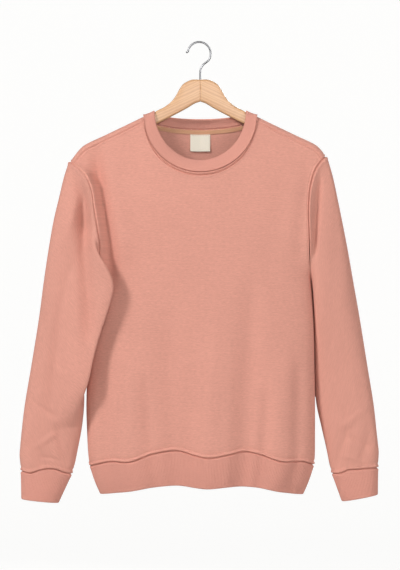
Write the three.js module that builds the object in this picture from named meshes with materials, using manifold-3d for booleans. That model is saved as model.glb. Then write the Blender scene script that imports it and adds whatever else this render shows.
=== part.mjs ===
// A crewneck sweatshirt in brushed fleece with ribbed collar, cuffs and waistband, hung on a wooden hanger.
// Millimetres, +Z up, the front faces -Y. The origin is under the top bend of the hook, where a rail carries it.

import * as THREE from "three";
import { mergeVertices } from "three/addons/utils/BufferGeometryUtils.js";
import Module from "manifold-3d";

// Cloth
const fleece = 2;
const doubledRib = 3;
const tapeWall = 1;
const labelWall = 1;
const seamGap = 0.3;

// Body
const frontDepth = 47;
const backDepth = 44;
const frontFall = 130;
const backFall = 100;
const shoulderRound = 9.5;
const sideRoundness = 2.6;
const fallPower = 1.2;
const headBlend = 30;
const sleeveHeads = { left: -213, right: -204 };
const armpitHeight = -421;
const armpitFlare = 0.35;
const armpitFlareGrowth = 0.0045;

// Neck
const neckHalfWidth = 105;
const neckTop = -135;
const frontNeckDrop = 98.6;
const backNeckDrop = 19.5;
const collarHalfWidth = 82;
const collarTop = -122.6;
const collarFrontDrop = 89.5;
const collarBackDrop = 14;
const collarFrontDepth = 19;
const collarBackDepth = 11;
const collarRoll = 1.6;
const collarInset = 1.5;

// Neck tape and label, on the inside of the back
const tapeHalfLength = 80;
const tapeHeight = 8;
const labelHalfWidth = 18;
const labelHeight = 30.5;
const labelLift = 2;
const tapeBelowSeam = 0.9;

// Hanger
const woodThick = 11;
const woodRound = 4;
const woodTop = -66;
const woodApex = -105.5;
const woodEnd = 205;
const woodEndHeight = 15;
const hookWire = 3.5;
const hookInside = 19;
const hookOffset = -2;
const stemInWood = 18;
const seatClear = 0.9;

// Mesh fineness
const halfColumns = 15;
const neckColumns = 7;
const edgeCrowding = 1.6;
const neckCrowding = 1.35;
const armholeRows = 12;
const sideRows = 12;
const sleeveRings = 18;
const sleeveColumns = 24;
const collarQuarter = 12;

// The top line of the cloth over the hanger, out from the middle to the sleeve head.
const ridgeLine = [
  { out: 0, z: -86 },
  { out: 60, z: -112 },
  { out: 105, z: -135 },
  { out: 170, z: -166.4 },
  { out: 204, z: -182.4 },
  { out: 214, z: -189.5 },
  { out: 225, z: -201.5 },
  { out: 236, z: -215 },
];

// The side seams below the armpit, each as its distance out from the middle.
const sideSeams = [
  { z: -421, left: 197, right: 198.5 },
  { z: -506, left: 199, right: 203 },
  { z: -585, left: 202, right: 204.5 },
  { z: -650, left: 204, right: 205.5 },
  { z: -704, left: 202.5, right: 205.5 },
  { z: -745, left: 200, right: 205 },
  { z: -762, left: 196.5, right: 202 },
];

// The armhole seams: the front one as seen, the back one less hollowed.
const armholes = [
  { z: -203, leftFront: 234, rightFront: 226, leftBack: 234, rightBack: 226 },
  { z: -213, leftFront: 234, rightFront: 217, leftBack: 234, rightBack: 220 },
  { z: -224, leftFront: 221.5, rightFront: 209, leftBack: 224, rightBack: 213 },
  { z: -237, leftFront: 209, rightFront: 203, leftBack: 214, rightBack: 208 },
  { z: -263, leftFront: 197, rightFront: 196.5, leftBack: 204, rightBack: 202 },
  { z: -300, leftFront: 190.5, rightFront: 193.7, leftBack: 197, rightBack: 197 },
  { z: -335, leftFront: 184.3, rightFront: 194.5, leftBack: 194, rightBack: 195 },
  { z: -366, leftFront: 180, rightFront: 195.5, leftBack: 192.5, rightBack: 194 },
  { z: -395, leftFront: 184, rightFront: 196.5, leftBack: 193, rightBack: 195 },
  { z: -421, leftFront: 197, rightFront: 198.5, leftBack: 197, rightBack: 198.5 },
];

// The sleeves' outer edges as they hang, from the sleeve head to the cuff seam.
const sleeveOuter = [
  { z: -203, left: 231, right: 226 },
  { z: -215, left: 235, right: 230.5 },
  { z: -243, left: 244, right: 238.5 },
  { z: -275, left: 251.5, right: 245.5 },
  { z: -319, left: 262, right: 254.5 },
  { z: -373, left: 271.5, right: 265 },
  { z: -430, left: 280, right: 275 },
  { z: -495, left: 288.5, right: 286.5 },
  { z: -585, left: 303, right: 301 },
  { z: -650, left: 314, right: 311.5 },
  { z: -700, left: 320, right: 317 },
  { z: -752, left: 324.5, right: 322.5 },
  { z: -770, left: 324.5, right: 323 },
];

// The sleeves' inner edges, close beside the body and then clear of it.
const sleeveInner = [
  { z: -421, left: 199.5, right: 201 },
  { z: -440, left: 205, right: 207 },
  { z: -500, left: 207.5, right: 209.5 },
  { z: -564, left: 208.5, right: 210.5 },
  { z: -611, left: 209.5, right: 211.5 },
  { z: -650, left: 209.5, right: 213 },
  { z: -691, left: 213.6, right: 220.5 },
  { z: -733, left: 221.5, right: 229 },
  { z: -765, left: 228, right: 235 },
  { z: -776, left: 230.5, right: 237 },
];

// The loose underarm cloth of each sleeve lies over the body, on the left in front and on the right behind.
const underarmFold = [
  { z: -352, reach: 181, share: 0 },
  { z: -386, reach: 174, share: 0.7 },
  { z: -413, reach: 161.6, share: 1 },
  { z: -438, reach: 154.5, share: 1 },
  { z: -469, reach: 160.8, share: 1 },
  { z: -516, reach: 176.5, share: 1 },
  { z: -564, reach: 190, share: 1 },
  { z: -611, reach: 200.5, share: 1 },
  { z: -655, reach: 207, share: 0.5 },
  { z: -690, reach: 213, share: 0 },
];
const foldAngle = 0.72 * Math.PI;
const foldSpread = 0.28 * Math.PI;
const foldForward = 24;
const foldClear = 3.2;
const sleeveClear = 1.3;
const underarmClear = 2;
const underarmSpread = 0.55;

// The waistband seam and the lower edge in front: the cloth hangs in soft waves.
const waistWaves = [
  { x: -198, seam: -760.5, edge: -813 },
  { x: -161, seam: -751.5, edge: -808.5 },
  { x: -126, seam: -751.5, edge: -804 },
  { x: -87, seam: -737.8, edge: -797 },
  { x: -42, seam: -731.5, edge: -793.3 },
  { x: -7, seam: -740.5, edge: -797.5 },
  { x: 15, seam: -744.1, edge: -799 },
  { x: 50, seam: -738.5, edge: -796 },
  { x: 78, seam: -733, edge: -795 },
  { x: 108, seam: -738.7, edge: -798 },
  { x: 144, seam: -750.8, edge: -805.5 },
  { x: 183, seam: -751.8, edge: -811 },
  { x: 204, seam: -759, edge: -813 },
];
const backWaistSides = -759;
const backWaistRise = 24;
const backEdgeSides = -811;
const backEdgeRise = 22;
const bandTaper = 0.905;
const bandDepthTaper = 0.94;
const bandSwell = 1.5;
const bandSeamGap = 0.6;
const bandHalfWidth = 203;

// Soft troughs (depth below 0) and ridges of the hanging cloth, each along a line from top to foot.
const frontFolds = [
  { topX: -200, topZ: -215, footX: -177, footZ: -400, depth: -5, width: 15 },
  { topX: -170, topZ: -190, footX: -158, footZ: -380, depth: 4, width: 18 },
  { topX: -126, topZ: -560, footX: -128, footZ: -790, depth: 7, width: 26 },
  { topX: -60, topZ: -500, footX: -44, footZ: -790, depth: -6, width: 24 },
  { topX: 22, topZ: -520, footX: 16, footZ: -790, depth: 6, width: 24 },
  { topX: 92, topZ: -440, footX: 80, footZ: -790, depth: -6, width: 20 },
  { topX: 150, topZ: -560, footX: 146, footZ: -790, depth: 7, width: 24 },
  { topX: 195, topZ: -215, footX: 176, footZ: -400, depth: -4, width: 14 },
  { topX: -110, topZ: -260, footX: -40, footZ: -330, depth: 2, width: 30 },
];
const backFolds = [
  { topX: -185, topZ: -205, footX: -150, footZ: -420, depth: -5, width: 18 },
  { topX: 185, topZ: -205, footX: 150, footZ: -420, depth: -5, width: 18 },
  { topX: -95, topZ: -480, footX: -100, footZ: -780, depth: 7, width: 28 },
  { topX: -10, topZ: -430, footX: -18, footZ: -780, depth: -7, width: 26 },
  { topX: 80, topZ: -500, footX: 84, footZ: -780, depth: 7, width: 28 },
];
const leftSleeveFolds = [
  { topX: -222, topZ: -245, footX: -213, footZ: -520, depth: -7, width: 11 },
  { topX: -262, topZ: -420, footX: -285, footZ: -640, depth: 3, width: 16 },
  { topX: -255, topZ: -690, footX: -240, footZ: -760, depth: -3, width: 8 },
  { topX: -300, topZ: -700, footX: -285, footZ: -765, depth: -3, width: 9 },
];
const rightSleeveFolds = [
  { topX: 214, topZ: -225, footX: 203, footZ: -380, depth: -6, width: 7 },
  { topX: 248, topZ: -400, footX: 285, footZ: -640, depth: 3, width: 18 },
  { topX: 262, topZ: -690, footX: 247, footZ: -762, depth: -3, width: 8 },
  { topX: 305, topZ: -690, footX: 290, footZ: -760, depth: -3, width: 9 },
];

const cuffTopDepth = 18;
const cuffHalfDepth = 22;
const cuffTuck = 4;

// Sleeve section: half its depth and the place of its middle, from the armhole to the cuff.
const sleeveSections = [
  { along: 0, half: 32, middle: 2 },
  { along: 0.3, half: 30, middle: 8 },
  { along: 0.6, half: 25, middle: 10 },
  { along: 0.9, half: 21, middle: 8 },
  { along: 1, half: cuffTopDepth, middle: 8 },
];
const cuffs = {
  left: { outerTop: -769.5, innerTop: -774.5, outer: 319.5, inner: 256, outerFoot: -819.5, innerFoot: -826 },
  right: { outerTop: -765, innerTop: -775, outer: 318.5, inner: 257, outerFoot: -813.5, innerFoot: -825 },
};

const sides = {
  left: { name: "left", sign: -1, foldToFront: 1, folds: leftSleeveFolds },
  right: { name: "right", sign: 1, foldToFront: -1, folds: rightSleeveFolds },
};

const clamp = (value, low = 0, high = 1) => Math.min(Math.max(value, low), high);
const mix = (from, to, share) => from + (to - from) * share;
const ease = (share) => clamp(share) ** 2 * (3 - 2 * clamp(share));
const steps = (count) => Array.from({ length: count + 1 }, (_, i) => i / count);

// A smooth value from a table: rows sorted by their "at" column, either way round.
function read(table, at, value, place) {
  const rising = table[table.length - 1][at] > table[0][at];
  const past = (row) => (rising ? table[row][at] >= place : table[row][at] <= place);
  let last = 1;
  while (last < table.length - 1 && !past(last)) last += 1;
  const slope = (row) => {
    const before = table[Math.max(row - 1, 0)];
    const after = table[Math.min(row + 1, table.length - 1)];
    return (after[value] - before[value]) / (after[at] - before[at]);
  };
  const start = table[last - 1];
  const end = table[last];
  const span = end[at] - start[at];
  const share = clamp((place - start[at]) / span);
  const square = share * share;
  const cube = square * share;
  return (
    start[value] * (2 * cube - 3 * square + 1) +
    end[value] * (3 * square - 2 * cube) +
    slope(last - 1) * span * (cube - 2 * square + share) +
    slope(last) * span * (cube - square)
  );
}

const ridgeZ = (x) => read(ridgeLine, "out", "z", Math.abs(x));

// The body's top line: the ridge over the hanger, ending at the sleeve heads.
function topLine(x) {
  const side = x < 0 ? sides.left : sides.right;
  const headOut = read(armholes, "z", side.name + "Front", sleeveHeads[side.name]);
  const out = clamp((Math.abs(x) - neckHalfWidth) / (headOut - neckHalfWidth));
  return mix(ridgeZ(x), sleeveHeads[side.name], out ** headBlend);
}
const sideOf = (x) => (x < 0 ? sides.left : sides.right);

// The height of a round shoulder of the given radius, at a drop below its top.
const roundOver = (drop) =>
  Math.sqrt(Math.max(shoulderRound ** 2 - Math.max(shoulderRound - Math.max(drop, 0), 0) ** 2, 0));

// Sum of the soft troughs and ridges at a place on one face of a piece.
function folded(folds, x, z) {
  return folds.reduce((sum, fold) => {
    const run = (z - fold.topZ) / (fold.footZ - fold.topZ);
    const middle = mix(fold.topX, fold.footX, ease(run));
    const fade = ease(clamp(run + 0.15, 0, 0.4) / 0.4) * ease(clamp(1.15 - run, 0, 0.3) / 0.3);
    return sum + fold.depth * fade * Math.exp(-(((x - middle) / fold.width) ** 2));
  }, 0);
}

// Half of the body's width where the section closes; above the armpit it opens out into the sleeve.
function closingWidth(x, z) {
  const above = Math.max(z - armpitHeight, 0);
  return read(sideSeams, "z", sideOf(x).name, Math.min(z, armpitHeight)) + armpitFlare * above + armpitFlareGrowth * above ** 2;
}

// How far the front or the back stands off the middle plane.
function standOff(isFront, x, z) {
  const drop = topLine(x) - z;
  const fall = Math.max(drop - shoulderRound, 0) / (isFront ? frontFall : backFall);
  const fullness = ((isFront ? frontDepth : backDepth) - shoulderRound) * (1 - Math.exp(-(fall ** fallPower)));
  const folds = folded(isFront ? frontFolds : backFolds, x, z);
  const toSide = clamp(Math.abs(x) / closingWidth(x, z));
  const closing = (1 - toSide ** sideRoundness) ** (1 / sideRoundness);
  return (roundOver(drop) + fullness + folds) * closing;
}

const waistSeam = (isFront, x) =>
  isFront
    ? read(waistWaves, "x", "seam", x)
    : backWaistSides + backWaistRise * (1 - (x / bandHalfWidth) ** 2);
const waistEdge = (isFront, x) =>
  isFront
    ? read(waistWaves, "x", "edge", x)
    : backEdgeSides + backEdgeRise * (1 - (x / bandHalfWidth) ** 2);

// The armhole loop at an angle: 0 at the sleeve head, through the front to pi at the armpit, and back behind.
function armhole(side, angle) {
  const isFront = angle <= Math.PI;
  const turn = isFront ? angle : 2 * Math.PI - angle;
  const z = mix(sleeveHeads[side.name], armpitHeight, (1 - Math.cos(turn)) / 2);
  const x = side.sign * read(armholes, "z", side.name + (isFront ? "Front" : "Back"), z);
  const y = standOff(isFront, x, z);
  return new THREE.Vector3(x, isFront ? -y : y, z);
}

// The top edge of a body panel: the neckline in the middle, then the shoulder ridge to the sleeve head.
function panelTop(isFront, column) {
  const side = column < 0 ? sides.left : sides.right;
  const step = Math.abs(column);
  if (step <= neckColumns) {
    const angle = (Math.PI / 2) * (1 - step / neckColumns) ** neckCrowding;
    return new THREE.Vector2(
      side.sign * neckHalfWidth * Math.cos(angle),
      neckTop - (isFront ? frontNeckDrop : backNeckDrop) * Math.sin(angle),
    );
  }
  const out = Math.sin((Math.PI / 2) * ((step - neckColumns) / (halfColumns - neckColumns)));
  const head = armhole(side, 0);
  const x = mix(neckHalfWidth, Math.abs(head.x), out);
  return new THREE.Vector2(side.sign * x, topLine(side.sign * x));
}

// The lower edge of a body panel, along the waistband seam.
function panelFoot(isFront, column) {
  const side = column < 0 ? sides.left : sides.right;
  const out = 1 - (1 - Math.abs(column) / halfColumns) ** edgeCrowding;
  const x = side.sign * read(sideSeams, "z", side.name, backWaistSides) * out;
  return new THREE.Vector2(x, waistSeam(isFront, x));
}

// The armhole's angle at a row: close rows over the shoulder, where the cloth turns over the hanger.
const armholeTurn = (row) => Math.PI * (row / armholeRows) ** 1.35;

// The side edge of a body panel: the armhole, then the side seam.
function panelSide(isFront, side, row) {
  if (row <= armholeRows) {
    const turn = armholeTurn(row);
    const point = armhole(side, isFront ? turn : 2 * Math.PI - turn);
    return new THREE.Vector2(point.x, point.z);
  }
  const foot = panelFoot(isFront, side.sign * halfColumns);
  const z = mix(armpitHeight, foot.y, (row - armholeRows) / sideRows);
  return new THREE.Vector2(side.sign * read(sideSeams, "z", side.name, z), z);
}

// The middle surface of the front or back panel, between its four edges.
function panelGrid(isFront) {
  const rows = armholeRows + sideRows;
  return Array.from({ length: 2 * halfColumns + 1 }, (_, i) => {
    const column = i - halfColumns;
    const side = column < 0 ? sides.left : sides.right;
    const top = panelTop(isFront, column);
    const foot = panelFoot(isFront, column);
    const head = panelTop(isFront, side.sign * halfColumns);
    const corner = panelFoot(isFront, side.sign * halfColumns);
    const neckFoot = panelFoot(isFront, side.sign * neckColumns);
    const besideTop = (Math.abs(top.x) - neckHalfWidth) / (Math.abs(head.x) - neckHalfWidth);
    const besideFoot = (foot.x - neckFoot.x) / (corner.x - neckFoot.x);
    const beside = Math.abs(column) > neckColumns ? (besideTop + besideFoot) / 2 : 0;
    return Array.from({ length: rows + 1 }, (_, row) => {
      const down = rowShare(row);
      const edge = panelSide(isFront, side, row);
      const x = mix(top.x, foot.x, down) + beside * (edge.x - mix(head.x, corner.x, down));
      const z = mix(top.y, foot.y, down) + beside * (edge.y - mix(head.y, corner.y, down));
      const y = Math.max(standOff(isFront, x, z), seamGap / 2);
      return new THREE.Vector3(x, isFront ? -y : y, z);
    });
  });
}

// How far down the panel a row lies.
function rowShare(row) {
  const head = armhole(sides.left, 0).z;
  const yoke = (armpitHeight - head) / (backWaistSides - head);
  if (row > armholeRows) return mix(yoke, 1, (row - armholeRows) / sideRows);
  return (yoke * (1 - Math.cos(armholeTurn(row)))) / 2;
}

// One ring of a sleeve before its loose folds: an oval between the outer and the inner edge.
function sleeveOval(side, along, angle) {
  const head = armhole(side, 0).z;
  const cuff = cuffs[side.name];
  const outerZ = mix(head, cuff.outerTop, along);
  const innerZ = mix(armpitHeight, cuff.innerTop, along);
  const tuck = cuffTuck * ease((along - 0.94) / 0.06);
  const outerX = read(sleeveOuter, "z", side.name, outerZ) - tuck;
  const innerX = read(sleeveInner, "z", side.name, innerZ) + tuck / 2;
  const inward = (1 - Math.cos(angle)) / 2;
  const half = read(sleeveSections, "along", "half", along);
  const middle = -side.foldToFront * read(sleeveSections, "along", "middle", along);
  return new THREE.Vector3(
    side.sign * mix(outerX, innerX, inward),
    middle - half * Math.sin(angle),
    mix(outerZ, innerZ, inward),
  );
}

// The armhole end of a sleeve, moved out to clear the body's edge, most of all under the arm.
function sleeveStart(side, angle) {
  const start = armhole(side, angle);
  const underarm = Math.exp(-(((angle - Math.PI) / underarmSpread) ** 2));
  start.x += side.sign * (sleeveClear + underarmClear * underarm);
  const onFoldedFace = side.foldToFront > 0 === angle < Math.PI;
  if (onFoldedFace) start.y -= side.foldToFront * foldClear * read(underarmFold, "z", "share", start.z);
  return start;
}

function sleevePoint(side, along, angle) {
  const point = sleeveOval(side, along, angle);
  const fade = 1 - ease(along / 0.4);
  point.add(sleeveStart(side, angle).sub(sleeveOval(side, 0, angle)).multiplyScalar(fade));
  const faceAngle = side.foldToFront > 0 ? angle : 2 * Math.PI - angle;
  const nearFold = clamp(1 - Math.abs(faceAngle - foldAngle) / foldSpread);
  const bump = Math.sin((Math.PI / 2) * nearFold) ** 2;
  const share = read(underarmFold, "z", "share", point.z) * ease(along / 0.06);
  const reach = side.sign * read(underarmFold, "z", "reach", point.z);
  point.x += bump * share * (reach - point.x);
  point.y -= side.foldToFront * Math.sqrt(bump) * share * foldForward;
  if (angle < Math.PI) {
    point.y -= folded(side.folds, point.x, point.z) * Math.sin(angle) * ease(along / 0.05);
  }
  return point;
}

function sleeveGrid(side) {
  return Array.from({ length: sleeveColumns }, (_, i) =>
    steps(sleeveRings).map((along) => sleevePoint(side, along ** 1.15, (2 * Math.PI * i) / sleeveColumns)),
  );
}

function cuffGrid(side) {
  const cuff = cuffs[side.name];
  const outerX = side.sign * cuff.outer;
  const innerX = side.sign * cuff.inner;
  return Array.from({ length: sleeveColumns }, (_, i) => {
    const angle = (2 * Math.PI * i) / sleeveColumns;
    const inward = (1 - Math.cos(angle)) / 2;
    const top = sleevePoint(side, 1, angle);
    const foot = new THREE.Vector3(
      mix(outerX, innerX, inward),
      top.y * (cuffHalfDepth / cuffTopDepth),
      mix(cuff.outerFoot, cuff.innerFoot, inward),
    );
    top.z -= seamGap;
    return steps(2).map((down) => top.clone().lerp(foot, down));
  });
}

function waistbandGrid() {
  return Array.from({ length: 4 * halfColumns }, (_, i) => {
    const isFront = i <= 2 * halfColumns;
    const column = isFront ? i - halfColumns : 3 * halfColumns - i;
    const seam = panelFoot(isFront, column);
    const out = Math.abs(column) === halfColumns ? 0 : standOff(isFront, seam.x, seam.y);
    const face = isFront ? -1 : 1;
    return steps(2).map((down) => {
      const narrow = mix(1, bandTaper, down);
      const swell = bandSwell * Math.sin(Math.PI * down);
      return new THREE.Vector3(
        seam.x * narrow + Math.sign(seam.x) * swell * Math.abs(column / halfColumns),
        face * (out * mix(1, bandDepthTaper, down) + (out > 0 ? swell : 0)),
        mix(seam.y - bandSeamGap, waistEdge(isFront, seam.x * bandTaper), down),
      );
    });
  });
}

// The neck seam at an angle: 0 on the right shoulder, through the front to pi, and back behind.
function neckSeam(angle) {
  const isFront = angle <= Math.PI;
  const x = neckHalfWidth * Math.cos(angle);
  const z = neckTop - (isFront ? frontNeckDrop : backNeckDrop) * Math.abs(Math.sin(angle));
  const y = standOff(isFront, x, z);
  return new THREE.Vector3(x, isFront ? -y : y, z);
}

// The collar's open edge, which crosses over the hanger at both sides.
function collarEdge(angle) {
  const isFront = angle <= Math.PI;
  const sink = Math.abs(Math.sin(angle));
  const drop = (isFront ? collarFrontDrop : collarBackDrop) * sink;
  const reach = (isFront ? collarFrontDepth : collarBackDepth) - shoulderRound;
  const y = roundOver(drop) + reach * sink ** 1.5;
  return new THREE.Vector3(collarHalfWidth * Math.cos(angle), isFront ? -y : y, collarTop - drop);
}

// Angles round the collar, close together where it turns over the hanger.
function collarAngles() {
  const quarter = steps(collarQuarter).map((share) => (Math.PI / 2) * share ** 1.7);
  const half = [...quarter, ...quarter.toReversed().slice(1).map((angle) => Math.PI - angle)];
  return [...half.slice(0, -1), ...half.slice(0, -1).map((angle) => Math.PI + angle)];
}

function collarGrid() {
  return collarAngles().map((angle) => {
    const seam = neckSeam(angle);
    const edge = collarEdge(angle);
    seam.addScaledVector(edge.clone().sub(seam).normalize(), collarInset);
    const out = new THREE.Vector3(0, -0.7 * Math.sin(angle), 0.7);
    return steps(3).map((across) =>
      seam.clone().lerp(edge, across).addScaledVector(out, collarRoll * Math.sin(Math.PI * across)),
    );
  });
}

// A place on the inside of the back, below the neck seam at x by the given drop.
function insideBack(x, drop, off) {
  const sink = Math.sqrt(1 - (x / neckHalfWidth) ** 2);
  const z = neckTop - backNeckDrop * sink - drop;
  return new THREE.Vector3(x, standOff(false, x, z) - fleece / 2 - seamGap - off, z);
}

function tapeGrid() {
  return steps(16).map((along) => {
    const x = mix(-tapeHalfLength, tapeHalfLength, along);
    return steps(1).map((down) => insideBack(x, tapeBelowSeam + tapeHeight * down, tapeWall / 2));
  });
}

function labelGrid() {
  const top = tapeHeight + 1;
  return steps(2).map((along) => {
    const x = mix(-labelHalfWidth, labelHalfWidth, along);
    return steps(3).map((down) => insideBack(x, top + labelHeight * down, labelWall / 2 + labelLift * down ** 2));
  });
}

// A closed wall of even thickness about a grid of points; a tube's columns meet round the back.
// On the middle plane, where front and back meet, its edge stands square to that plane.
function wall(grid, thick, isTube) {
  const columns = grid.length;
  const rows = grid[0].length;
  const at = (i, j) => grid[isTube ? (i + columns) % columns : clamp(i, 0, columns - 1)][clamp(j, 0, rows - 1)];
  const positions = [];
  for (const share of [0.5, -0.5]) {
    for (let i = 0; i < columns; i += 1) {
      for (let j = 0; j < rows; j += 1) {
        const across = at(i + 1, j).clone().sub(at(i - 1, j));
        const down = at(i, j + 1).clone().sub(at(i, j - 1));
        const normal = across.cross(down);
        if (Math.abs(at(i, j).y) <= seamGap) normal.y = 0;
        normal.normalize();
        positions.push(...at(i, j).clone().addScaledVector(normal, share * thick).toArray());
      }
    }
  }
  const index = [];
  const inner = columns * rows;
  const vertex = (i, j, layer) => layer * inner + (isTube ? i % columns : i) * rows + j;
  const quad = (a, b, c, d) => index.push(a, b, c, a, c, d);
  const lastColumn = isTube ? columns : columns - 1;
  for (let i = 0; i < lastColumn; i += 1) {
    for (let j = 0; j < rows - 1; j += 1) {
      quad(vertex(i, j, 0), vertex(i + 1, j, 0), vertex(i + 1, j + 1, 0), vertex(i, j + 1, 0));
      quad(vertex(i, j, 1), vertex(i, j + 1, 1), vertex(i + 1, j + 1, 1), vertex(i + 1, j, 1));
    }
    quad(vertex(i, 0, 0), vertex(i, 0, 1), vertex(i + 1, 0, 1), vertex(i + 1, 0, 0));
    quad(vertex(i, rows - 1, 0), vertex(i + 1, rows - 1, 0), vertex(i + 1, rows - 1, 1), vertex(i, rows - 1, 1));
  }
  if (!isTube) {
    for (let j = 0; j < rows - 1; j += 1) {
      quad(vertex(0, j, 0), vertex(0, j + 1, 0), vertex(0, j + 1, 1), vertex(0, j, 1));
      const end = columns - 1;
      quad(vertex(end, j, 0), vertex(end, j, 1), vertex(end, j + 1, 1), vertex(end, j + 1, 0));
    }
  }
  return facingOut(positions, index);
}

// The geometry with its faces turned so that it encloses a volume above 0.
function facingOut(positions, index) {
  const corner = (k) => new THREE.Vector3().fromArray(positions, 3 * index[k]);
  let volume = 0;
  for (let k = 0; k < index.length; k += 3) volume += corner(k).dot(corner(k + 1).cross(corner(k + 2)));
  if (volume < 0) index.reverse();
  const geometry = new THREE.BufferGeometry();
  geometry.setAttribute("position", new THREE.Float32BufferAttribute(positions, 3));
  geometry.setIndex(index);
  geometry.computeVertexNormals();
  return geometry;
}

// The hanger's outline: a flat head round the hook, two arms under the shoulders, and an open angle below.
function hangerShape() {
  const seat = fleece / 2 + seatClear;
  const upper = [
    [14, woodTop], [31.3, -74.5], [37.5, -83], [42.8, -92.9], [52, -105.5], [65.7, -115.9], [79.6, -123],
    [86, -129.5], [96, -135], [104, -139.8],
    ...[112, 122, 138, 154, 170, 186, 197].map((x) => [x, ridgeZ(x) - seat]),
  ];
  const end = [
    [woodEnd - 2, ridgeZ(woodEnd) - seat - 1],
    [woodEnd, ridgeZ(woodEnd) - seat - woodEndHeight / 2],
    [woodEnd - 5, ridgeZ(woodEnd) - seat - woodEndHeight],
  ];
  const lower = [[160, -183], [120, -165], [77.9, -145.5], [49.7, -131.2], [24, -117.5], [10, -109]];
  const half = [...upper, ...end, ...lower];
  const outline = [...half, [0, woodApex], ...half.toReversed().map(([x, z]) => [-x, z])];
  return new THREE.Shape(outline.map(([x, z]) => new THREE.Vector2(x, z)));
}

async function hangerWood() {
  const geometry = new THREE.ExtrudeGeometry(hangerShape(), {
    depth: woodThick - 2 * woodRound,
    bevelThickness: woodRound,
    bevelSize: woodRound,
    bevelOffset: -woodRound,
    bevelSegments: 2,
  });
  geometry.rotateX(Math.PI / 2);
  geometry.translate(0, woodThick / 2 - woodRound, 0);
  const bore = new THREE.CylinderGeometry(hookWire / 2 + seamGap, hookWire / 2 + seamGap, stemInWood + 2, 12);
  bore.rotateX(Math.PI / 2);
  bore.translate(0, 0, woodTop - stemInWood / 2 + 1 - seamGap);
  const library = await Module();
  library.setup();
  const solid = (source) => {
    const bare = source.clone();
    bare.deleteAttribute("normal");
    bare.deleteAttribute("uv");
    const merged = mergeVertices(bare, 1e-3);
    return new library.Manifold(
      new library.Mesh({
        numProp: 3,
        vertProperties: new Float32Array(merged.attributes.position.array),
        triVerts: new Uint32Array(merged.index.array),
      }),
    );
  };
  const drilled = solid(geometry).subtract(solid(bore)).getMesh();
  return facingOut(Array.from(drilled.vertProperties), Array.from(drilled.triVerts));
}

// The hook: a round bend over the rail, an easy curve back to the middle, and a stem down into the wood.
function hookGeometry() {
  const radius = hookInside + hookWire / 2;
  const bend = steps(12).map((share) => {
    const angle = mix(170, -38, share) * (Math.PI / 180);
    return new THREE.Vector3(
      hookOffset + radius * Math.cos(angle), 0, -hookInside + radius * Math.sin(angle),
    );
  });
  const tip = new THREE.Vector3(hookOffset - radius - 3, 0, -hookInside + 1.5);
  const stem = [
    new THREE.Vector3(5.5, 0, -39),
    new THREE.Vector3(1, 0, -46),
    new THREE.Vector3(0, 0, -54),
    new THREE.Vector3(0, 0, -64),
    new THREE.Vector3(0, 0, woodTop - stemInWood),
  ];
  const path = new THREE.CatmullRomCurve3([tip, ...bend, ...stem], false, "centripetal");
  const section = new THREE.Shape().absarc(0, 0, hookWire / 2, 0, 2 * Math.PI);
  return new THREE.ExtrudeGeometry(section, { extrudePath: path, steps: 36, curveSegments: 8, bevelEnabled: false });
}

const fleeceLook = { color: 0xd9988a, roughness: 0.92, metalness: 0 };
const ribLook = { color: 0xd49586, roughness: 0.92, metalness: 0 };
const tapeLook = { color: 0xb77f64, roughness: 0.85, metalness: 0 };
const labelLook = { color: 0xe8dccb, roughness: 0.8, metalness: 0 };
const woodLook = { color: 0xdfae80, roughness: 0.5, metalness: 0 };
const steelLook = { color: 0xa9aaaa, roughness: 0.25, metalness: 1 };

const sweatshirt = new THREE.Group();

function add(name, geometry, look) {
  const mesh = new THREE.Mesh(geometry, new THREE.MeshStandardMaterial(look));
  mesh.name = name;
  sweatshirt.add(mesh);
}

add("front", wall(panelGrid(true), fleece, false), fleeceLook);
add("back", wall(panelGrid(false), fleece, false), fleeceLook);
for (const side of Object.values(sides)) {
  add("sleeve_" + side.name, wall(sleeveGrid(side), fleece, true), fleeceLook);
  add("cuff_" + side.name, wall(cuffGrid(side), doubledRib, true), ribLook);
}
add("waistband", wall(waistbandGrid(), doubledRib, true), ribLook);
add("collar", wall(collarGrid(), doubledRib, true), ribLook);
add("neck_tape", wall(tapeGrid(), tapeWall, false), tapeLook);
add("label", wall(labelGrid(), labelWall, false), labelLook);
add("hanger_wood", await hangerWood(), woodLook);
add("hanger_hook", hookGeometry(), steelLook);

export default sweatshirt;
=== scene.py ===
"""A crewneck sweatshirt on a wooden hanger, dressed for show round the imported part.

Sizes are millimetres, +Z up, the front faces -Y, and the origin is under the top bend of the hook.
"""

import math
from functools import partial

import bpy
import numpy as np
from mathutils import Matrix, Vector


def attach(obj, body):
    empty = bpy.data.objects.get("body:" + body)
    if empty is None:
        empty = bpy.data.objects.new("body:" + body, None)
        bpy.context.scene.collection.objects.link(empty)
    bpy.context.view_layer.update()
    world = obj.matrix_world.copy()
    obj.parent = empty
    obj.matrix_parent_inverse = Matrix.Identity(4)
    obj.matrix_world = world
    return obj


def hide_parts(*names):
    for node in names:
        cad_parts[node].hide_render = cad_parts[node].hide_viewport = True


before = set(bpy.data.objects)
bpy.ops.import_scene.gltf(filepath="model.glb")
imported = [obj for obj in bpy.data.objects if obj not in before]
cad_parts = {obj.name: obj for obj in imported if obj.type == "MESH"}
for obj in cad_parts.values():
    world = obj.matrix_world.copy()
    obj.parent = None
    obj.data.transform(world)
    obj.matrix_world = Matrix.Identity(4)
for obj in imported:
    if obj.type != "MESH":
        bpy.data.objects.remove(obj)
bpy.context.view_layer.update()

MM = 0.001

# Cloth
FLEECE = 2.0
DOUBLED_RIB = 3.0
TAPE_WALL = 1.0
LABEL_WALL = 1.0
SEAM_GAP = 0.3
JOIN_GAP = 0.06

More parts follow.
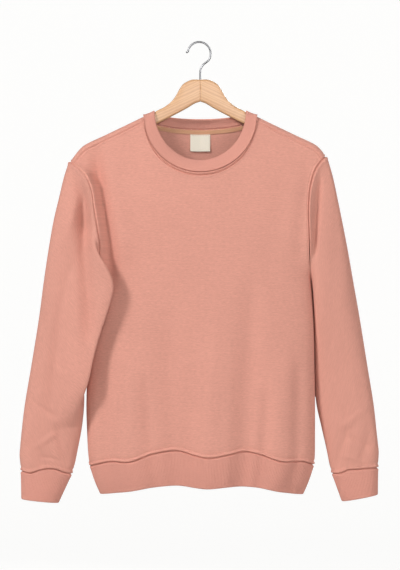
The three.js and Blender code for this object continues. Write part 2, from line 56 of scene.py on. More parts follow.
# Body
FRONT_DEPTH, BACK_DEPTH = 47.0, 44.0
FRONT_FALL, BACK_FALL = 130.0, 100.0
FALL_POWER = 1.2
HEAD_BLEND = 30
SHOULDER_ROUND = 9.5
SIDE_ROUNDNESS = 2.6
ARMPIT = -421.0
ARMPIT_FLARE, ARMPIT_FLARE_GROWTH = 0.35, 0.0045

# Neck and collar
NECK_HALF_WIDTH, NECK_TOP = 100.5, -132.7
FRONT_NECK_DROP, BACK_NECK_DROP = 100.9, 21.8
COLLAR_HALF_WIDTH, COLLAR_TOP = 82.0, -122.6
COLLAR_FRONT_DROP, COLLAR_BACK_DROP = 89.5, 14.0
COLLAR_FRONT_DEPTH, COLLAR_BACK_DEPTH = 19.0, 11.0
COLLAR_BOW, COLLAR_ROLL, COLLAR_LEAN = 1.5, 1.6, 0.7

# Neck tape and label
TAPE_HALF_LENGTH, TAPE_HEIGHT, TAPE_BELOW_SEAM = 80.0, 8.0, 0.9
LABEL_HALF_WIDTH, LABEL_HEIGHT, LABEL_LIFT = 18.0, 30.5, 2.0

# Hanger
WOOD_THICK, WOOD_ROUND = 11.0, 4.0
WOOD_TOP, WOOD_APEX = -66.0, -105.5
WOOD_END, WOOD_END_HEIGHT, WOOD_END_ROUND = 205.0, 15.0, 5.0
WOOD_SEAT = FLEECE / 2 + 0.9
HOOK_WIRE, HOOK_INSIDE, HOOK_OFFSET = 3.5, 19.0, -2.0
STEM_IN_WOOD = 18.0

# Grid of the cloth pieces, and how crowded their columns stand
HALF_COLUMNS, NECK_COLUMNS = 15, 7
EDGE_CROWDING, NECK_CROWDING, ARMHOLE_CROWDING = 1.6, 1.35, 1.35
ARMHOLE_ROWS, SIDE_ROWS = 12, 12
FINE_STEPS = 4000

# Out from the middle, height: the top line of the cloth over the hanger.
RIDGE_LINE = (
    (0, -86), (60, -112), (105, -135), (170, -166.4),
    (204, -182.4), (214, -189.5), (225, -201.5), (236, -215),
)

# Height, left, right: the side seams below the armpit.
SIDE_SEAMS = (
    (-421, 197, 198.5), (-506, 199, 203), (-585, 202, 204.5), (-650, 204, 205.5),
    (-704, 202.5, 205.5), (-745, 200, 205), (-762, 196.5, 202),
)

# Height, left front, right front, left back, right back: the armhole seams.
ARMHOLES = (
    (-203, 234, 226, 234, 226), (-213, 234, 217, 234, 220), (-224, 221.5, 209, 224, 213),
    (-237, 207, 203, 214, 208), (-263, 195, 196.5, 204, 202), (-300, 189, 193.7, 197, 197),
    (-335, 183.5, 194.5, 194, 195), (-366, 180, 195.5, 192.5, 194), (-395, 184, 196.5, 193, 195),
    (-421, 197, 198.5, 197, 198.5),
)

# Height, left, right: the sleeves' outer edges as they hang.
SLEEVE_OUTER = (
    (-203, 231, 226), (-215, 235, 230.5), (-243, 244, 238.5), (-275, 251.5, 245.5),
    (-319, 262, 254.5), (-373, 271.5, 265), (-430, 280, 275), (-495, 288.5, 286.5),
    (-585, 303, 301), (-650, 314, 311.5), (-700, 320, 317), (-752, 324.5, 322.5), (-770, 324.5, 323),
)

# Height, left, right: the sleeves' inner edges.
SLEEVE_INNER = (
    (-421, 199.5, 200), (-440, 205, 202.4), (-500, 207.5, 205.4), (-564, 208.5, 206.8),
    (-611, 209.5, 208), (-650, 209.5, 210.6), (-691, 213.6, 219.5), (-733, 221.5, 229),
    (-765, 228, 235), (-776, 230.5, 237),
)

# Height, reach towards the middle, share: the loose underarm cloth of each sleeve.
UNDERARM_FOLD = (
    (-325, 184, 0), (-352, 181, 0.4), (-386, 173, 0.85), (-413, 161.6, 1), (-438, 154.5, 1), (-469, 160.8, 1),
    (-516, 176.5, 1), (-564, 190, 1), (-611, 200.5, 1), (-655, 207, 0.5), (-690, 213, 0),
)
FOLD_ANGLE, FOLD_SPREAD = 0.72 * math.pi, 0.28 * math.pi
FOLD_FORWARD, FOLD_CLEAR, FOLD_SHOULDER = 24.0, 3.2, 0.8
SLEEVE_CLEAR, UNDERARM_CLEAR, UNDERARM_SPREAD = 1.1, 0.8, 0.55
JOIN_REACH = 2.6
SLEEVE_FULLNESS = 0.7

# Down a sleeve: where the armhole's form has faded, and where fullness, folds and creases are whole.
ARMHOLE_FADE, FULL_BY, FOLD_BY, CREASE_BY = 0.4, 0.3, 0.06, 0.05

# Down a sleeve: where its tuck and its wave begin. Then the creases and the wave behind, against the front.
TUCK_FROM, WAVE_FROM = 0.94, 0.86
BEHIND_CREASE, BEHIND_WAVE = -0.6, -0.5

# The raised cloth along the left front armhole, and how softly it starts and ends.
SEAM_LIFT, SEAM_LIFT_WIDTH, SEAM_LIFT_TOP = 21.0, 12.0, -208.0
SEAM_LIFT_START, SEAM_LIFT_END = 40.0, 60.0

# Across, waistband seam, lower edge: the front's soft waves.
WAIST_WAVES = (
    (-198, -760.5, -813), (-161, -751.5, -808.5), (-126, -751.5, -804), (-87, -737.8, -797),
    (-42, -731.5, -793.3), (-7, -740.5, -797.5), (15, -744.1, -799), (50, -738.5, -796),
    (78, -733, -795), (108, -738.7, -798), (144, -750.8, -805.5), (183, -751.8, -811),
    (204, -759, -813),
)
BACK_WAIST_SIDES, BACK_WAIST_RISE = -759.0, 24.0
BACK_EDGE_SIDES, BACK_EDGE_RISE = -811.0, 22.0
BAND_TAPER, BAND_DEPTH_TAPER, BAND_SWELL, SWELL_REACH = 0.905, 0.94, 1.5, 8.0
BAND_HALF_WIDTH = 203.0

# How far past its ends a fold runs, and over which share it fades in and out.
FOLD_PAST, FOLD_FADE_IN, FOLD_FADE_OUT = 0.15, 0.4, 0.3

# Each fold: top x, top z, foot x, foot z, depth, width. A depth below 0 is a trough.
FRONT_FOLDS = (
    (-186, -205, -160, -420, -18, 13), (-158, -190, -140, -380, 4, 20),
    (-126, -560, -128, -790, 7, 26), (-60, -500, -44, -790, -6, 24),
    (22, -520, 16, -790, 6, 24), (92, -440, 80, -790, -6, 20),
    (150, -560, 146, -790, 7, 24), (195, -215, 176, -400, -4, 14),
    (-110, -260, -40, -330, 2, 30),
)
BACK_FOLDS = (
    (-185, -205, -150, -420, -5, 18), (185, -205, 150, -420, -5, 18),
    (-95, -480, -100, -780, 7, 28), (-10, -430, -18, -780, -7, 26), (80, -500, 84, -780, 7, 28),
)
LEFT_SLEEVE_FOLDS = (
    (-214, -225, -199, -520, -8, 11), (-262, -420, -285, -640, 3, 16),
    (-255, -690, -240, -760, -3, 8), (-300, -700, -285, -765, -3, 9),
)
RIGHT_SLEEVE_FOLDS = (
    (213, -225, 203, -380, -9, 7), (248, -400, 285, -640, 3, 18),
    (262, -690, 247, -762, -3, 8), (305, -690, 290, -760, -3, 9),
)

# Smaller creases that only the dressed cloth has, in the same form as the folds.
FRONT_CREASES = (
    (-96, -600, -88, -770, -3, 13), (-20, -640, -22, -790, -2.5, 14), (52, -560, 48, -780, 3, 15),
    (118, -620, 112, -790, -4, 12), (176, -560, 172, -780, -4, 11), (-172, -600, -168, -780, -4, 13),
    (-150, -230, -120, -420, -1.6, 22), (150, -230, 128, -420, -1.6, 22), (-60, -262, -20, -420, 1.2, 26),
)
BACK_CREASES = (
    (-140, -600, -136, -780, -3.5, 14), (-55, -600, -50, -780, 3, 15), (40, -610, 36, -780, -3.5, 13),
    (130, -600, 126, -780, -3.5, 14), (-60, -190, -20, -330, -1.5, 24), (60, -190, 20, -330, -1.5, 24),
)
LEFT_SLEEVE_CREASES = (
    (-213, -225, -199, -560, -7, 15), (-217, -200, -209, -345, -8, 15), (-176, -330, -182, -520, -2, 14),
    (-282, -560, -246, -600, 1.5, 9), (-300, -640, -262, -672, -2, 8), (-262, -700, -292, -728, 2, 8),
    (-290, -742, -256, -756, -2, 7),
)
RIGHT_SLEEVE_CREASES = (
    (232, -250, 226, -480, 2.5, 12), (262, -560, 292, -610, -1.5, 10), (300, -650, 262, -690, 2, 9),
    (272, -706, 300, -730, -2, 8), (258, -744, 292, -756, 2, 7),
)

# Share inward from the outer edge, height: how each cuff seam waves in front.
LEFT_CUFF_WAVE = ((0, 0), (0.18, -2.3), (0.35, 3.1), (0.52, 7.2), (0.69, 7.4), (0.83, 3.2), (1, 0))
RIGHT_CUFF_WAVE = ((0, 0), (0.22, 1.6), (0.47, 2.5), (0.66, 3.6), (0.84, -0.9), (1, 0))

# Along, half the depth, place of the middle: the sleeve's section.
CUFF_TOP_DEPTH, CUFF_HALF_DEPTH, CUFF_TUCK = 18.0, 22.0, 4.0
SLEEVE_SECTIONS = ((0, 32, 2), (0.3, 30, 8), (0.6, 25, 10), (0.9, 21, 8), (1, CUFF_TOP_DEPTH, 8))


class Side:
    """One side of the garment: its sign, the way its underarm folds, and its cuff."""

    def __init__(self, name, sign, fold_to_front, head, folds, creases, cuff_wave, tops, reach, feet):
        self.name = name
        self.sign = sign
        self.column = 1 if sign < 0 else 2
        self.fold_to_front = fold_to_front
        self.head = head
        self.folds = folds
        self.creases = creases
        self.cuff_wave = cuff_wave
        self.outer_top, self.inner_top = tops
        self.outer, self.inner = reach
        self.outer_foot, self.inner_foot = feet


LEFT = Side(
    "left", -1, 1, -213, LEFT_SLEEVE_FOLDS, LEFT_SLEEVE_CREASES, LEFT_CUFF_WAVE,
    (-769.5, -774.5), (319.5, 256), (-819.5, -826),
)
RIGHT = Side(
    "right", 1, -1, -204, RIGHT_SLEEVE_FOLDS, RIGHT_SLEEVE_CREASES, RIGHT_CUFF_WAVE,
    (-765, -775), (318.5, 257), (-813.5, -825),
)


def mix(start, end, share):
    return start + (end - start) * share


def ease(share):
    held = np.clip(share, 0, 1)
    return held**2 * (3 - 2 * held)


def point(x, y, z):
    """An array of points from three arrays that broadcast together."""
    return np.stack(np.broadcast_arrays(x, y, z), axis=-1).astype(float)


def curve(table, column, place):
    """The smooth line through one column of a table, read at each place in its first column."""
    rows = np.array(sorted(table), float)
    at, value = rows[:, 0], rows[:, column]
    order = np.arange(len(at))
    before, after = np.maximum(order - 1, 0), np.minimum(order + 1, len(at) - 1)
    slope = (value[after] - value[before]) / (at[after] - at[before])
    last = np.clip(np.searchsorted(at, place), 1, len(at) - 1)
    span = at[last] - at[last - 1]
    share = np.clip((place - at[last - 1]) / span, 0, 1)
    square, cube = share**2, share**3
    return (
        value[last - 1] * (2 * cube - 3 * square + 1)
        + value[last] * (3 * square - 2 * cube)
        + slope[last - 1] * span * (cube - 2 * square + share)
        + slope[last] * span * (cube - square)
    )


def by_side(table, x, place, first=1):
    """A table's left column where x is below 0, and its right column elsewhere."""
    return np.where(x < 0, curve(table, first, place), curve(table, first + 1, place))


def ridge_height(x):
    return curve(RIDGE_LINE, 1, np.abs(x))


def top_line(x):
    """The body's top line: the ridge over the hanger, ending at the sleeve heads."""
    head = np.where(x < 0, LEFT.head, RIGHT.head)
    reach = by_side(ARMHOLES, x, head) - NECK_HALF_WIDTH
    out = np.clip((np.abs(x) - NECK_HALF_WIDTH) / reach, 0, 1)
    return mix(ridge_height(x), head, out**HEAD_BLEND)


def round_over(drop):
    """The height of a round shoulder at a drop below its top."""
    left = np.maximum(SHOULDER_ROUND - np.maximum(drop, 0), 0)
    return np.sqrt(np.maximum(SHOULDER_ROUND**2 - left**2, 0))


def folded(folds, x, z):
    """The sum of soft troughs and ridges at places on one face."""
    total = np.zeros(np.broadcast(x, z).shape)
    for top_x, top_z, foot_x, foot_z, depth, width in folds:
        run = (z - top_z) / (foot_z - top_z)
        middle = mix(top_x, foot_x, ease(run))
        fade = ease((run + FOLD_PAST) / FOLD_FADE_IN) * ease((1 + FOLD_PAST - run) / FOLD_FADE_OUT)
        total = total + depth * fade * np.exp(-(((x - middle) / width) ** 2))
    return total


def closing_width(x, z):
    above = np.maximum(z - ARMPIT, 0)
    seam = by_side(SIDE_SEAMS, x, np.minimum(z, ARMPIT))
    return seam + ARMPIT_FLARE * above + ARMPIT_FLARE_GROWTH * above**2


def seam_lift(x, z):
    """The raised cloth along the left front armhole, where the sleeve lies over the body."""
    off_seam = (-x - curve(ARMHOLES, 1, z)) / SEAM_LIFT_WIDTH
    held = ease((SEAM_LIFT_TOP - z) / SEAM_LIFT_START) * ease((z - ARMPIT) / SEAM_LIFT_END)
    return np.where(x < 0, SEAM_LIFT * held * np.exp(-(off_seam**2)), 0)


def stand_off(is_front, x, z):
    """How far the front or the back stands off the middle plane."""
    depth = FRONT_DEPTH if is_front else BACK_DEPTH
    reach = FRONT_FALL if is_front else BACK_FALL
    drop = top_line(x) - z
    fall = np.maximum(drop - SHOULDER_ROUND, 0) / reach
    fullness = (depth - SHOULDER_ROUND) * (1 - np.exp(-(fall**FALL_POWER)))
    folds = folded(FRONT_FOLDS + FRONT_CREASES if is_front else BACK_FOLDS + BACK_CREASES, x, z)
    to_side = np.clip(np.abs(x) / closing_width(x, z), 0, 1)
    closing = (1 - to_side**SIDE_ROUNDNESS) ** (1 / SIDE_ROUNDNESS)
    lift = seam_lift(x, z) if is_front else 0
    return (round_over(drop) + fullness + folds + lift) * closing


def waist_seam(is_front, x):
    if is_front:
        return curve(WAIST_WAVES, 1, x)
    return BACK_WAIST_SIDES + BACK_WAIST_RISE * (1 - (x / BAND_HALF_WIDTH) ** 2)


def waist_edge(is_front, x):
    if is_front:
        return curve(WAIST_WAVES, 2, x)
    return BACK_EDGE_SIDES + BACK_EDGE_RISE * (1 - (x / BAND_HALF_WIDTH) ** 2)


def armhole(side, angle):
    """The armhole loop: 0 at the sleeve head, through the front to pi at the armpit."""
    angle = np.asarray(angle, float)
    is_front = angle <= math.pi
    turn = np.where(is_front, angle, 2 * math.pi - angle)
    z = mix(side.head, ARMPIT, (1 - np.cos(turn)) / 2)
    front_x, back_x = (curve(ARMHOLES, side.column + shift, z) for shift in (0, 2))
    x = side.sign * np.where(is_front, front_x, back_x)
    y = np.where(is_front, -stand_off(True, x, z), stand_off(False, x, z))
    return point(x, y, z)


def armhole_turn(row):
    return math.pi * (row / ARMHOLE_ROWS) ** ARMHOLE_CROWDING


def row_share(row):
    """How far down the panel a row lies, from 0 at the top to 1 at the waistband."""
    yoke = (ARMPIT - LEFT.head) / (BACK_WAIST_SIDES - LEFT.head)
    upper = yoke * (1 - np.cos(armhole_turn(np.minimum(row, ARMHOLE_ROWS)))) / 2
    return np.where(row > ARMHOLE_ROWS, mix(yoke, 1, (row - ARMHOLE_ROWS) / SIDE_ROWS), upper)


def panel_top(is_front, column, side):
    """The top edge of a panel on one side: the neckline, then the ridge to the sleeve head."""
    step = np.abs(column)
    angle = (math.pi / 2) * np.clip(1 - step / NECK_COLUMNS, 0, 1) ** NECK_CROWDING
    drop = FRONT_NECK_DROP if is_front else BACK_NECK_DROP
    past = np.clip((step - NECK_COLUMNS) / (HALF_COLUMNS - NECK_COLUMNS), 0, 1)
    out = np.sin((math.pi / 2) * past)
    head = armhole(side, 0.0)
    x = mix(NECK_HALF_WIDTH, abs(head[0]), out)
    z = top_line(side.sign * x)
    in_neck = step <= NECK_COLUMNS
    return (
        side.sign * np.where(in_neck, NECK_HALF_WIDTH * np.cos(angle), x),
        np.where(in_neck, NECK_TOP - drop * np.sin(angle), z),
    )


def panel_foot(is_front, column, side):
    out = 1 - (1 - np.minimum(np.abs(column) / HALF_COLUMNS, 1)) ** EDGE_CROWDING
    x = side.sign * curve(SIDE_SEAMS, side.column, BACK_WAIST_SIDES) * out
    return x, waist_seam(is_front, x)


def panel_side(is_front, side, row):
    """The side edge of a panel: the armhole, then the side seam."""
    turn = armhole_turn(np.minimum(row, ARMHOLE_ROWS))
    hole = armhole(side, turn if is_front else 2 * math.pi - turn)
    foot = panel_foot(is_front, side.sign * HALF_COLUMNS, side)[1]
    z = mix(ARMPIT, foot, np.clip((row - ARMHOLE_ROWS) / SIDE_ROWS, 0, 1))
    seam = side.sign * curve(SIDE_SEAMS, side.column, z)
    on_hole = row <= ARMHOLE_ROWS
    return np.where(on_hole, hole[..., 0], seam), np.where(on_hole, hole[..., 2], z)


def panel_half(is_front, side, columns, rows):
    """The middle surface of one half of a panel: columns on the first axis, rows on the second."""
    top_x, top_z = (v[:, None] for v in panel_top(is_front, columns, side))
    foot_x, foot_z = (v[:, None] for v in panel_foot(is_front, columns, side))
    head_x, head_z = panel_top(is_front, np.array(float(HALF_COLUMNS)), side)
    corner_x, corner_z = panel_foot(is_front, HALF_COLUMNS, side)
    neck_x = panel_foot(is_front, NECK_COLUMNS, side)[0]
    beside_top = (np.abs(top_x) - NECK_HALF_WIDTH) / (abs(head_x) - NECK_HALF_WIDTH)
    beside_foot = (foot_x - neck_x) / (corner_x - neck_x)
    outside = np.abs(columns)[:, None] > NECK_COLUMNS
    beside = np.where(outside, (beside_top + beside_foot) / 2, 0)
    down = row_share(rows)[None, :]
    edge_x, edge_z = (v[None, :] for v in panel_side(is_front, side, rows))
    x = mix(top_x, foot_x, down) + beside * (edge_x - mix(head_x, corner_x, down))
    z = mix(top_z, foot_z, down) + beside * (edge_z - mix(head_z, corner_z, down))
    y = np.maximum(stand_off(is_front, x, z), JOIN_GAP)
    return point(x, -y if is_front else y, z)


def panel_grid(is_front, columns, rows):
    left = panel_half(is_front, LEFT, columns[columns < 0], rows)
    right = panel_half(is_front, RIGHT, columns[columns >= 0], rows)
    return np.concatenate([left, right])


def sleeve_oval(side, along, angle):
    """One ring of a sleeve before its loose folds."""
    outer_z = mix(side.head, side.outer_top, along)
    inner_z = mix(ARMPIT, side.inner_top, along)
    tuck = CUFF_TUCK * ease((along - TUCK_FROM) / (1 - TUCK_FROM))
    outer_x = curve(SLEEVE_OUTER, side.column, outer_z) - tuck
    inner_x = curve(SLEEVE_INNER, side.column, inner_z) + tuck / 2
    inward = (1 - np.cos(angle)) / 2
    half = curve(SLEEVE_SECTIONS, 1, along)
    middle = -side.fold_to_front * curve(SLEEVE_SECTIONS, 2, along)
    x = side.sign * mix(outer_x, inner_x, inward)
    roundness = mix(1, SLEEVE_FULLNESS, ease(along / FULL_BY))
    full = np.sign(np.sin(angle)) * np.abs(np.sin(angle)) ** roundness
    return point(x, middle - half * full, mix(outer_z, inner_z, inward))


def sleeve_start(side, angle):
    """The armhole end of a sleeve, just clear of the body's edge."""
    start = armhole(side, angle)
    underarm = np.exp(-(((angle - math.pi) / UNDERARM_SPREAD) ** 2))
    start[..., 0] += side.sign * (SLEEVE_CLEAR + UNDERARM_CLEAR * underarm)
    share = curve(UNDERARM_FOLD, 2, start[..., 2])
    on_fold = (angle < math.pi) if side.fold_to_front > 0 else (angle >= math.pi)
    start[..., 1] -= np.where(on_fold, side.fold_to_front * FOLD_CLEAR * share, 0)
    return start


def fold_underarm(side, place, along, angle):
    """Lays the loose underarm cloth over the body's front, or behind its back."""
    face_angle = angle if side.fold_to_front > 0 else 2 * math.pi - angle
    near = np.clip(1 - np.abs(face_angle - FOLD_ANGLE) / FOLD_SPREAD, 0, 1)
    bump = np.sin((math.pi / 2) * near) ** 2
    share = curve(UNDERARM_FOLD, 2, place[..., 2]) * ease(along / FOLD_BY)
    reach = side.sign * curve(UNDERARM_FOLD, 1, place[..., 2])
    place[..., 0] += bump * share * (reach - place[..., 0])
    lift = np.sin((math.pi / 2) * ease(near) ** FOLD_SHOULDER)
    place[..., 1] -= side.fold_to_front * lift * share * FOLD_FORWARD


def crease_sleeve(side, place, along, angle):
    """Presses a sleeve's folds and creases in, and waves its lower end."""
    depth = folded(side.folds + side.creases, place[..., 0], place[..., 2])
    depth = depth * np.abs(np.sin(angle)) * ease(along / CREASE_BY)
    place[..., 1] -= np.where(angle < math.pi, depth, BEHIND_CREASE * depth)
    inward = (1 - np.cos(angle)) / 2
    wave = curve(side.cuff_wave, 1, inward) * ease((along - WAVE_FROM) / (1 - WAVE_FROM))
    place[..., 2] += np.where(angle < math.pi, wave, BEHIND_WAVE * wave)


def sleeve_surface(side, along, angle):
    """The middle surface of a sleeve, from its armhole to its cuff."""
    along, angle = np.broadcast_arrays(np.asarray(along, float), np.asarray(angle, float))
    fade = (1 - ease(along / ARMHOLE_FADE))[..., None]
    at_armhole = sleeve_start(side, angle) - sleeve_oval(side, np.zeros_like(angle), angle)
    place = sleeve_oval(side, along, angle) + at_armhole * fade
    fold_underarm(side, place, along, angle)
    crease_sleeve(side, place, along, angle)
    return place


def sleeve_joined(side, along, angle):
    """The sleeve with its first rows drawn back to the armhole, where it is sewn."""
    along, angle = np.broadcast_arrays(np.asarray(along, float), np.asarray(angle, float))
    place = sleeve_surface(side, along, angle)
    down = lengths(place, 1)
    hole = armhole(side, angle[:, :1])
    hole[..., 0] += side.sign * JOIN_GAP
    pull = np.exp(-((down / JOIN_REACH) ** 2))[..., None]
    return place + (hole - place[:, :1]) * pull


def cuff_surface(side, angle, down):
    """The cuff from the sleeve's end to its open foot."""
    inward = (1 - np.cos(angle)) / 2
    top = sleeve_surface(side, np.ones_like(angle), angle)
    foot = point(
        side.sign * mix(side.outer, side.inner, inward),
        top[..., 1] * (CUFF_HALF_DEPTH / CUFF_TOP_DEPTH),
        mix(side.outer_foot, side.inner_foot, inward),
    )
    top[..., 2] -= JOIN_GAP
    return mix(top, foot, down[..., None])


def waistband_surface(column, down):
    """The waistband: column runs round it, from the left side seam over the front and back."""
    whole = 4 * HALF_COLUMNS
    column = np.mod(column, whole)
    is_front = column <= 2 * HALF_COLUMNS
    place = np.where(is_front, column - HALF_COLUMNS, 3 * HALF_COLUMNS - column)
    halves = []
    for face_front in (True, False):
        sides = []
        for side in (LEFT, RIGHT):
            seam_x, seam_z = panel_foot(face_front, place, side)
            out = np.maximum(stand_off(face_front, seam_x, seam_z), 0)
            narrow = mix(1, BAND_TAPER, down)
            swell = BAND_SWELL * np.sin(math.pi * down)
            x = seam_x * narrow + side.sign * swell * np.abs(place / HALF_COLUMNS)
            y = out * mix(1, BAND_DEPTH_TAPER, down) + swell * ease(out / SWELL_REACH)
            z = mix(seam_z - JOIN_GAP, waist_edge(face_front, seam_x * BAND_TAPER), down)
            sides.append(point(x, -y if face_front else y, z))
        halves.append(np.where((place < 0)[..., None], sides[0], sides[1]))
    return np.where(is_front[..., None], halves[0], halves[1])


def neck_seam(angle):
    """The neck seam: 0 on the right shoulder, through the front to pi, and back behind."""
    is_front = angle <= math.pi
    x = NECK_HALF_WIDTH * np.cos(angle)
    drop = np.where(is_front, FRONT_NECK_DROP, BACK_NECK_DROP)
    z = NECK_TOP - drop * np.abs(np.sin(angle))
    y = np.where(is_front, -stand_off(True, x, z), stand_off(False, x, z))
    return point(x, y, z)


def collar_edge(angle):
    is_front = angle <= math.pi
    sink = np.abs(np.sin(angle))
    drop = np.where(is_front, COLLAR_FRONT_DROP, COLLAR_BACK_DROP) * sink
    reach = np.where(is_front, COLLAR_FRONT_DEPTH, COLLAR_BACK_DEPTH) - SHOULDER_ROUND
    y = round_over(drop) + reach * sink**COLLAR_BOW
    return point(COLLAR_HALF_WIDTH * np.cos(angle), np.where(is_front, -y, y), COLLAR_TOP - drop)


def collar_surface(angle, across):
    """The collar from the neck seam, across 0, to its open edge, across 1."""
    seam, edge = neck_seam(angle), collar_edge(angle)
    way = edge - seam
    seam = seam + way / np.linalg.norm(way, axis=-1, keepdims=True) * JOIN_GAP
    lean = COLLAR_LEAN * np.sin(angle)
    roll = COLLAR_ROLL * np.sin(math.pi * across)
    return mix(seam, edge, across[..., None]) + point(0, -lean, np.abs(lean)) * roll[..., None]


def inside_back(x, drop, off):
    """A place on the inside of the back, below the neck seam."""
    sink = np.sqrt(1 - (x / NECK_HALF_WIDTH) ** 2)
    z = NECK_TOP - BACK_NECK_DROP * sink - drop
    return point(x, stand_off(False, x, z) - FLEECE / 2 - SEAM_GAP - off, z)


def lengths(grid, axis):
    """Distance walked along one axis of a grid, from its start."""
    steps = np.linalg.norm(np.diff(grid, axis=axis), axis=-1)
    start = np.zeros_like(np.take(steps, [0], axis=axis))
    return np.concatenate([start, np.cumsum(steps, axis=axis)], axis=axis)


def groove(distance, at, width, depth):
    """A soft line pressed into the cloth, or a raised one where the depth is below 0."""
    return -depth * np.exp(-(((distance - at) / width) ** 2))


def pressed(distance, lines):
    """Several such lines beside one seam."""
    return sum(groove(distance, *line) for line in lines)


def seam_turn(distance, depth, width):
    """How far the cloth turns in where it is sewn to its neighbour."""
    return depth * np.exp(-((distance / width) ** 2))


RIM_LEAST = 0.02


def rounded_rim(distance, thick):
    """Half of a wall's thickness at a distance from its rolled edge."""
    reach = thick / 2
    past = np.clip(1 - distance / reach, 0, 1)
    return reach * np.sqrt(np.maximum(1 - past**2, RIM_LEAST))


# Spacing, start and strength of the waves that make an uneven pucker.
PUCKER_WAVES = ((1.9, 0, 1), (3.1, 1.3, 0.7), (1.17, 2.1, 0.5))


def pucker(along, distance, at, height, reach):
    """Small uneven waves that a row of stitches draws into the cloth beside it."""
    waves = sum(strength * np.sin(along / spacing + start) for spacing, start, strength in PUCKER_WAVES)
    whole = sum(strength for _, _, strength in PUCKER_WAVES)
    return height * waves * np.exp(-(((distance - at) / reach) ** 2)) / whole


def normals_of(grid, is_tube):
    """Unit normals, square to the middle plane where front and back meet."""
    if is_tube:
        across = np.roll(grid, -1, axis=0) - np.roll(grid, 1, axis=0)
    else:
        across = np.gradient(grid, axis=0)
    normal = np.cross(across, np.gradient(grid, axis=1))
    if not is_tube:
        normal[..., 1] = np.where(np.abs(grid[..., 1]) <= SEAM_GAP, 0, normal[..., 1])
    return normal / np.maximum(np.linalg.norm(normal, axis=-1, keepdims=True), 1e-9)


def mesh_object(name, vertices, faces, uvs=None):
    """A smooth mesh object from millimetre points, with a map in metres for its materials."""
    mesh = bpy.data.meshes.new(name)
    mesh.from_pydata((vertices * MM).tolist(), [], faces)
    if uvs is not None:
        layer = mesh.uv_layers.new(name="cloth")
        layer.data.foreach_set("uv", np.asarray(uvs, np.float32).ravel())
    mesh.polygons.foreach_set("use_smooth", np.ones(len(mesh.polygons), bool))
    made = bpy.data.objects.new(name, mesh)
    bpy.context.scene.collection.objects.link(made)
    return made


def ring_faces(rings, sides):
    """The faces of a solid made of rings of points, closed at both ends."""
    i, j = np.meshgrid(np.arange(rings - 1) * sides, np.arange(sides), indexing="ij")
    after = (j + 1) % sides
    quads = np.stack([i + j, i + after, i + sides + after, i + sides + j], -1).reshape(-1, 4)
    first = np.arange(sides)
    last = first + (rings - 1) * sides
    return quads.tolist() + [first[::-1].tolist(), last.tolist()]


def grid_faces(columns, rows, is_tube):
    """Vertex numbers and grid steps of the quads of a grid of columns by rows."""
    last = columns if is_tube else columns - 1
    i, j = np.meshgrid(np.arange(last), np.arange(rows - 1), indexing="ij")
    steps = [(i, j), (i + 1, j), (i + 1, j + 1), (i, j + 1)]
    numbers = np.stack([(a % columns) * rows + b for a, b in steps], -1)
    places = np.stack([np.stack(step, -1) for step in steps], 2)
    return numbers.reshape(-1, 4), places.reshape(-1, 4, 2)


def rim_faces(columns, rows, is_tube):
    """The quads that close the edge between the outer and the inner layer."""
    inner = columns * rows
    last = columns if is_tube else columns - 1
    i = np.arange(last)
    here, there = i * rows, ((i + 1) % columns) * rows
    top = np.stack([here, here + inner, there + inner, there], -1)
    here, there = here + rows - 1, there + rows - 1
    rims = [top, np.stack([here, there, there + inner, here + inner], -1)]
    if not is_tube:
        j = np.arange(rows - 1)
        rims.append(np.stack([j, j + 1, j + 1 + inner, j + inner], -1))
        j = j + (columns - 1) * rows
        rims.append(np.stack([j, j + inner, j + 1 + inner, j + 1], -1))
    return np.concatenate(rims)


def shell(name, middle, outward, is_tube, half, relief, inner_relief=0.0, turned=0.0, flat_map=None):
    """A closed cloth wall about a middle surface, and the surface of its outer face."""
    columns, rows = middle.shape[:2]
    normal = normals_of(middle, is_tube) * outward
    middle = middle - normal * np.broadcast_to(turned, (columns, rows))[..., None]
    outer = middle + normal * np.broadcast_to(half + relief, (columns, rows))[..., None]
    inner = middle - normal * np.broadcast_to(half - inner_relief, (columns, rows))[..., None]
    walked = np.concatenate([middle, middle[:1]]) if is_tube else middle
    u, v = (lengths(walked, 0) * MM, lengths(walked, 1) * MM) if flat_map is None else flat_map
    quads, steps = grid_faces(columns, rows, is_tube)
    rims = rim_faces(columns, rows, is_tube)
    maps = np.stack([u[steps[..., 0], steps[..., 1]], v[steps[..., 0], steps[..., 1]]], -1)
    faces = np.concatenate([quads, quads[:, ::-1] + columns * rows, rims])
    uvs = np.concatenate([maps, maps[:, ::-1], np.zeros((len(rims), 4, 2))])
    if outward < 0:
        faces, uvs = faces[:, ::-1], uvs[:, ::-1]
    vertices = np.concatenate([outer.reshape(-1, 3), inner.reshape(-1, 3)])
    return mesh_object(name, vertices, faces.tolist(), uvs), outer, normal


def even_places(line, whole, count):
    """Places along a closed line, evenly spaced by the distance walked on it, and its length."""
    tries = np.linspace(0, whole, FINE_STEPS + 1)
    walked = lengths(line(tries)[:, None], 0)[:, 0]
    return np.interp(np.linspace(0, walked[-1], count + 1), walked, tries)[:-1], walked[-1]


def spaced(total, fine, step, fine_count):
    """Distances from 0 to a total, close together at both ends."""
    lead = np.concatenate([[0], np.cumsum(np.linspace(fine, step, fine_count))])
    inner = total - 2 * lead[-1]
    count = max(int(inner / step), 1)
    body = lead[-1] + inner * np.arange(1, count) / count
    return np.concatenate([lead, body, (total - lead)[::-1]]) / total


def line_at(surface, normal, distance, at):
    """The line on a surface where each grid line along its second axis has walked a distance."""
    points, ups = [], []
    for places, ways, walked in zip(surface, normal, distance):
        points.append([np.interp(at, walked, places[:, k]) for k in range(3)])
        ups.append([np.interp(at, walked, ways[:, k]) for k in range(3)])
    return np.array(points), np.array(ups)


# Thread
THREAD, THREAD_LIFT = 0.5, 0.1
STITCH, STITCH_GAP = 3.2, 0.7
STITCH_SIDES = 6

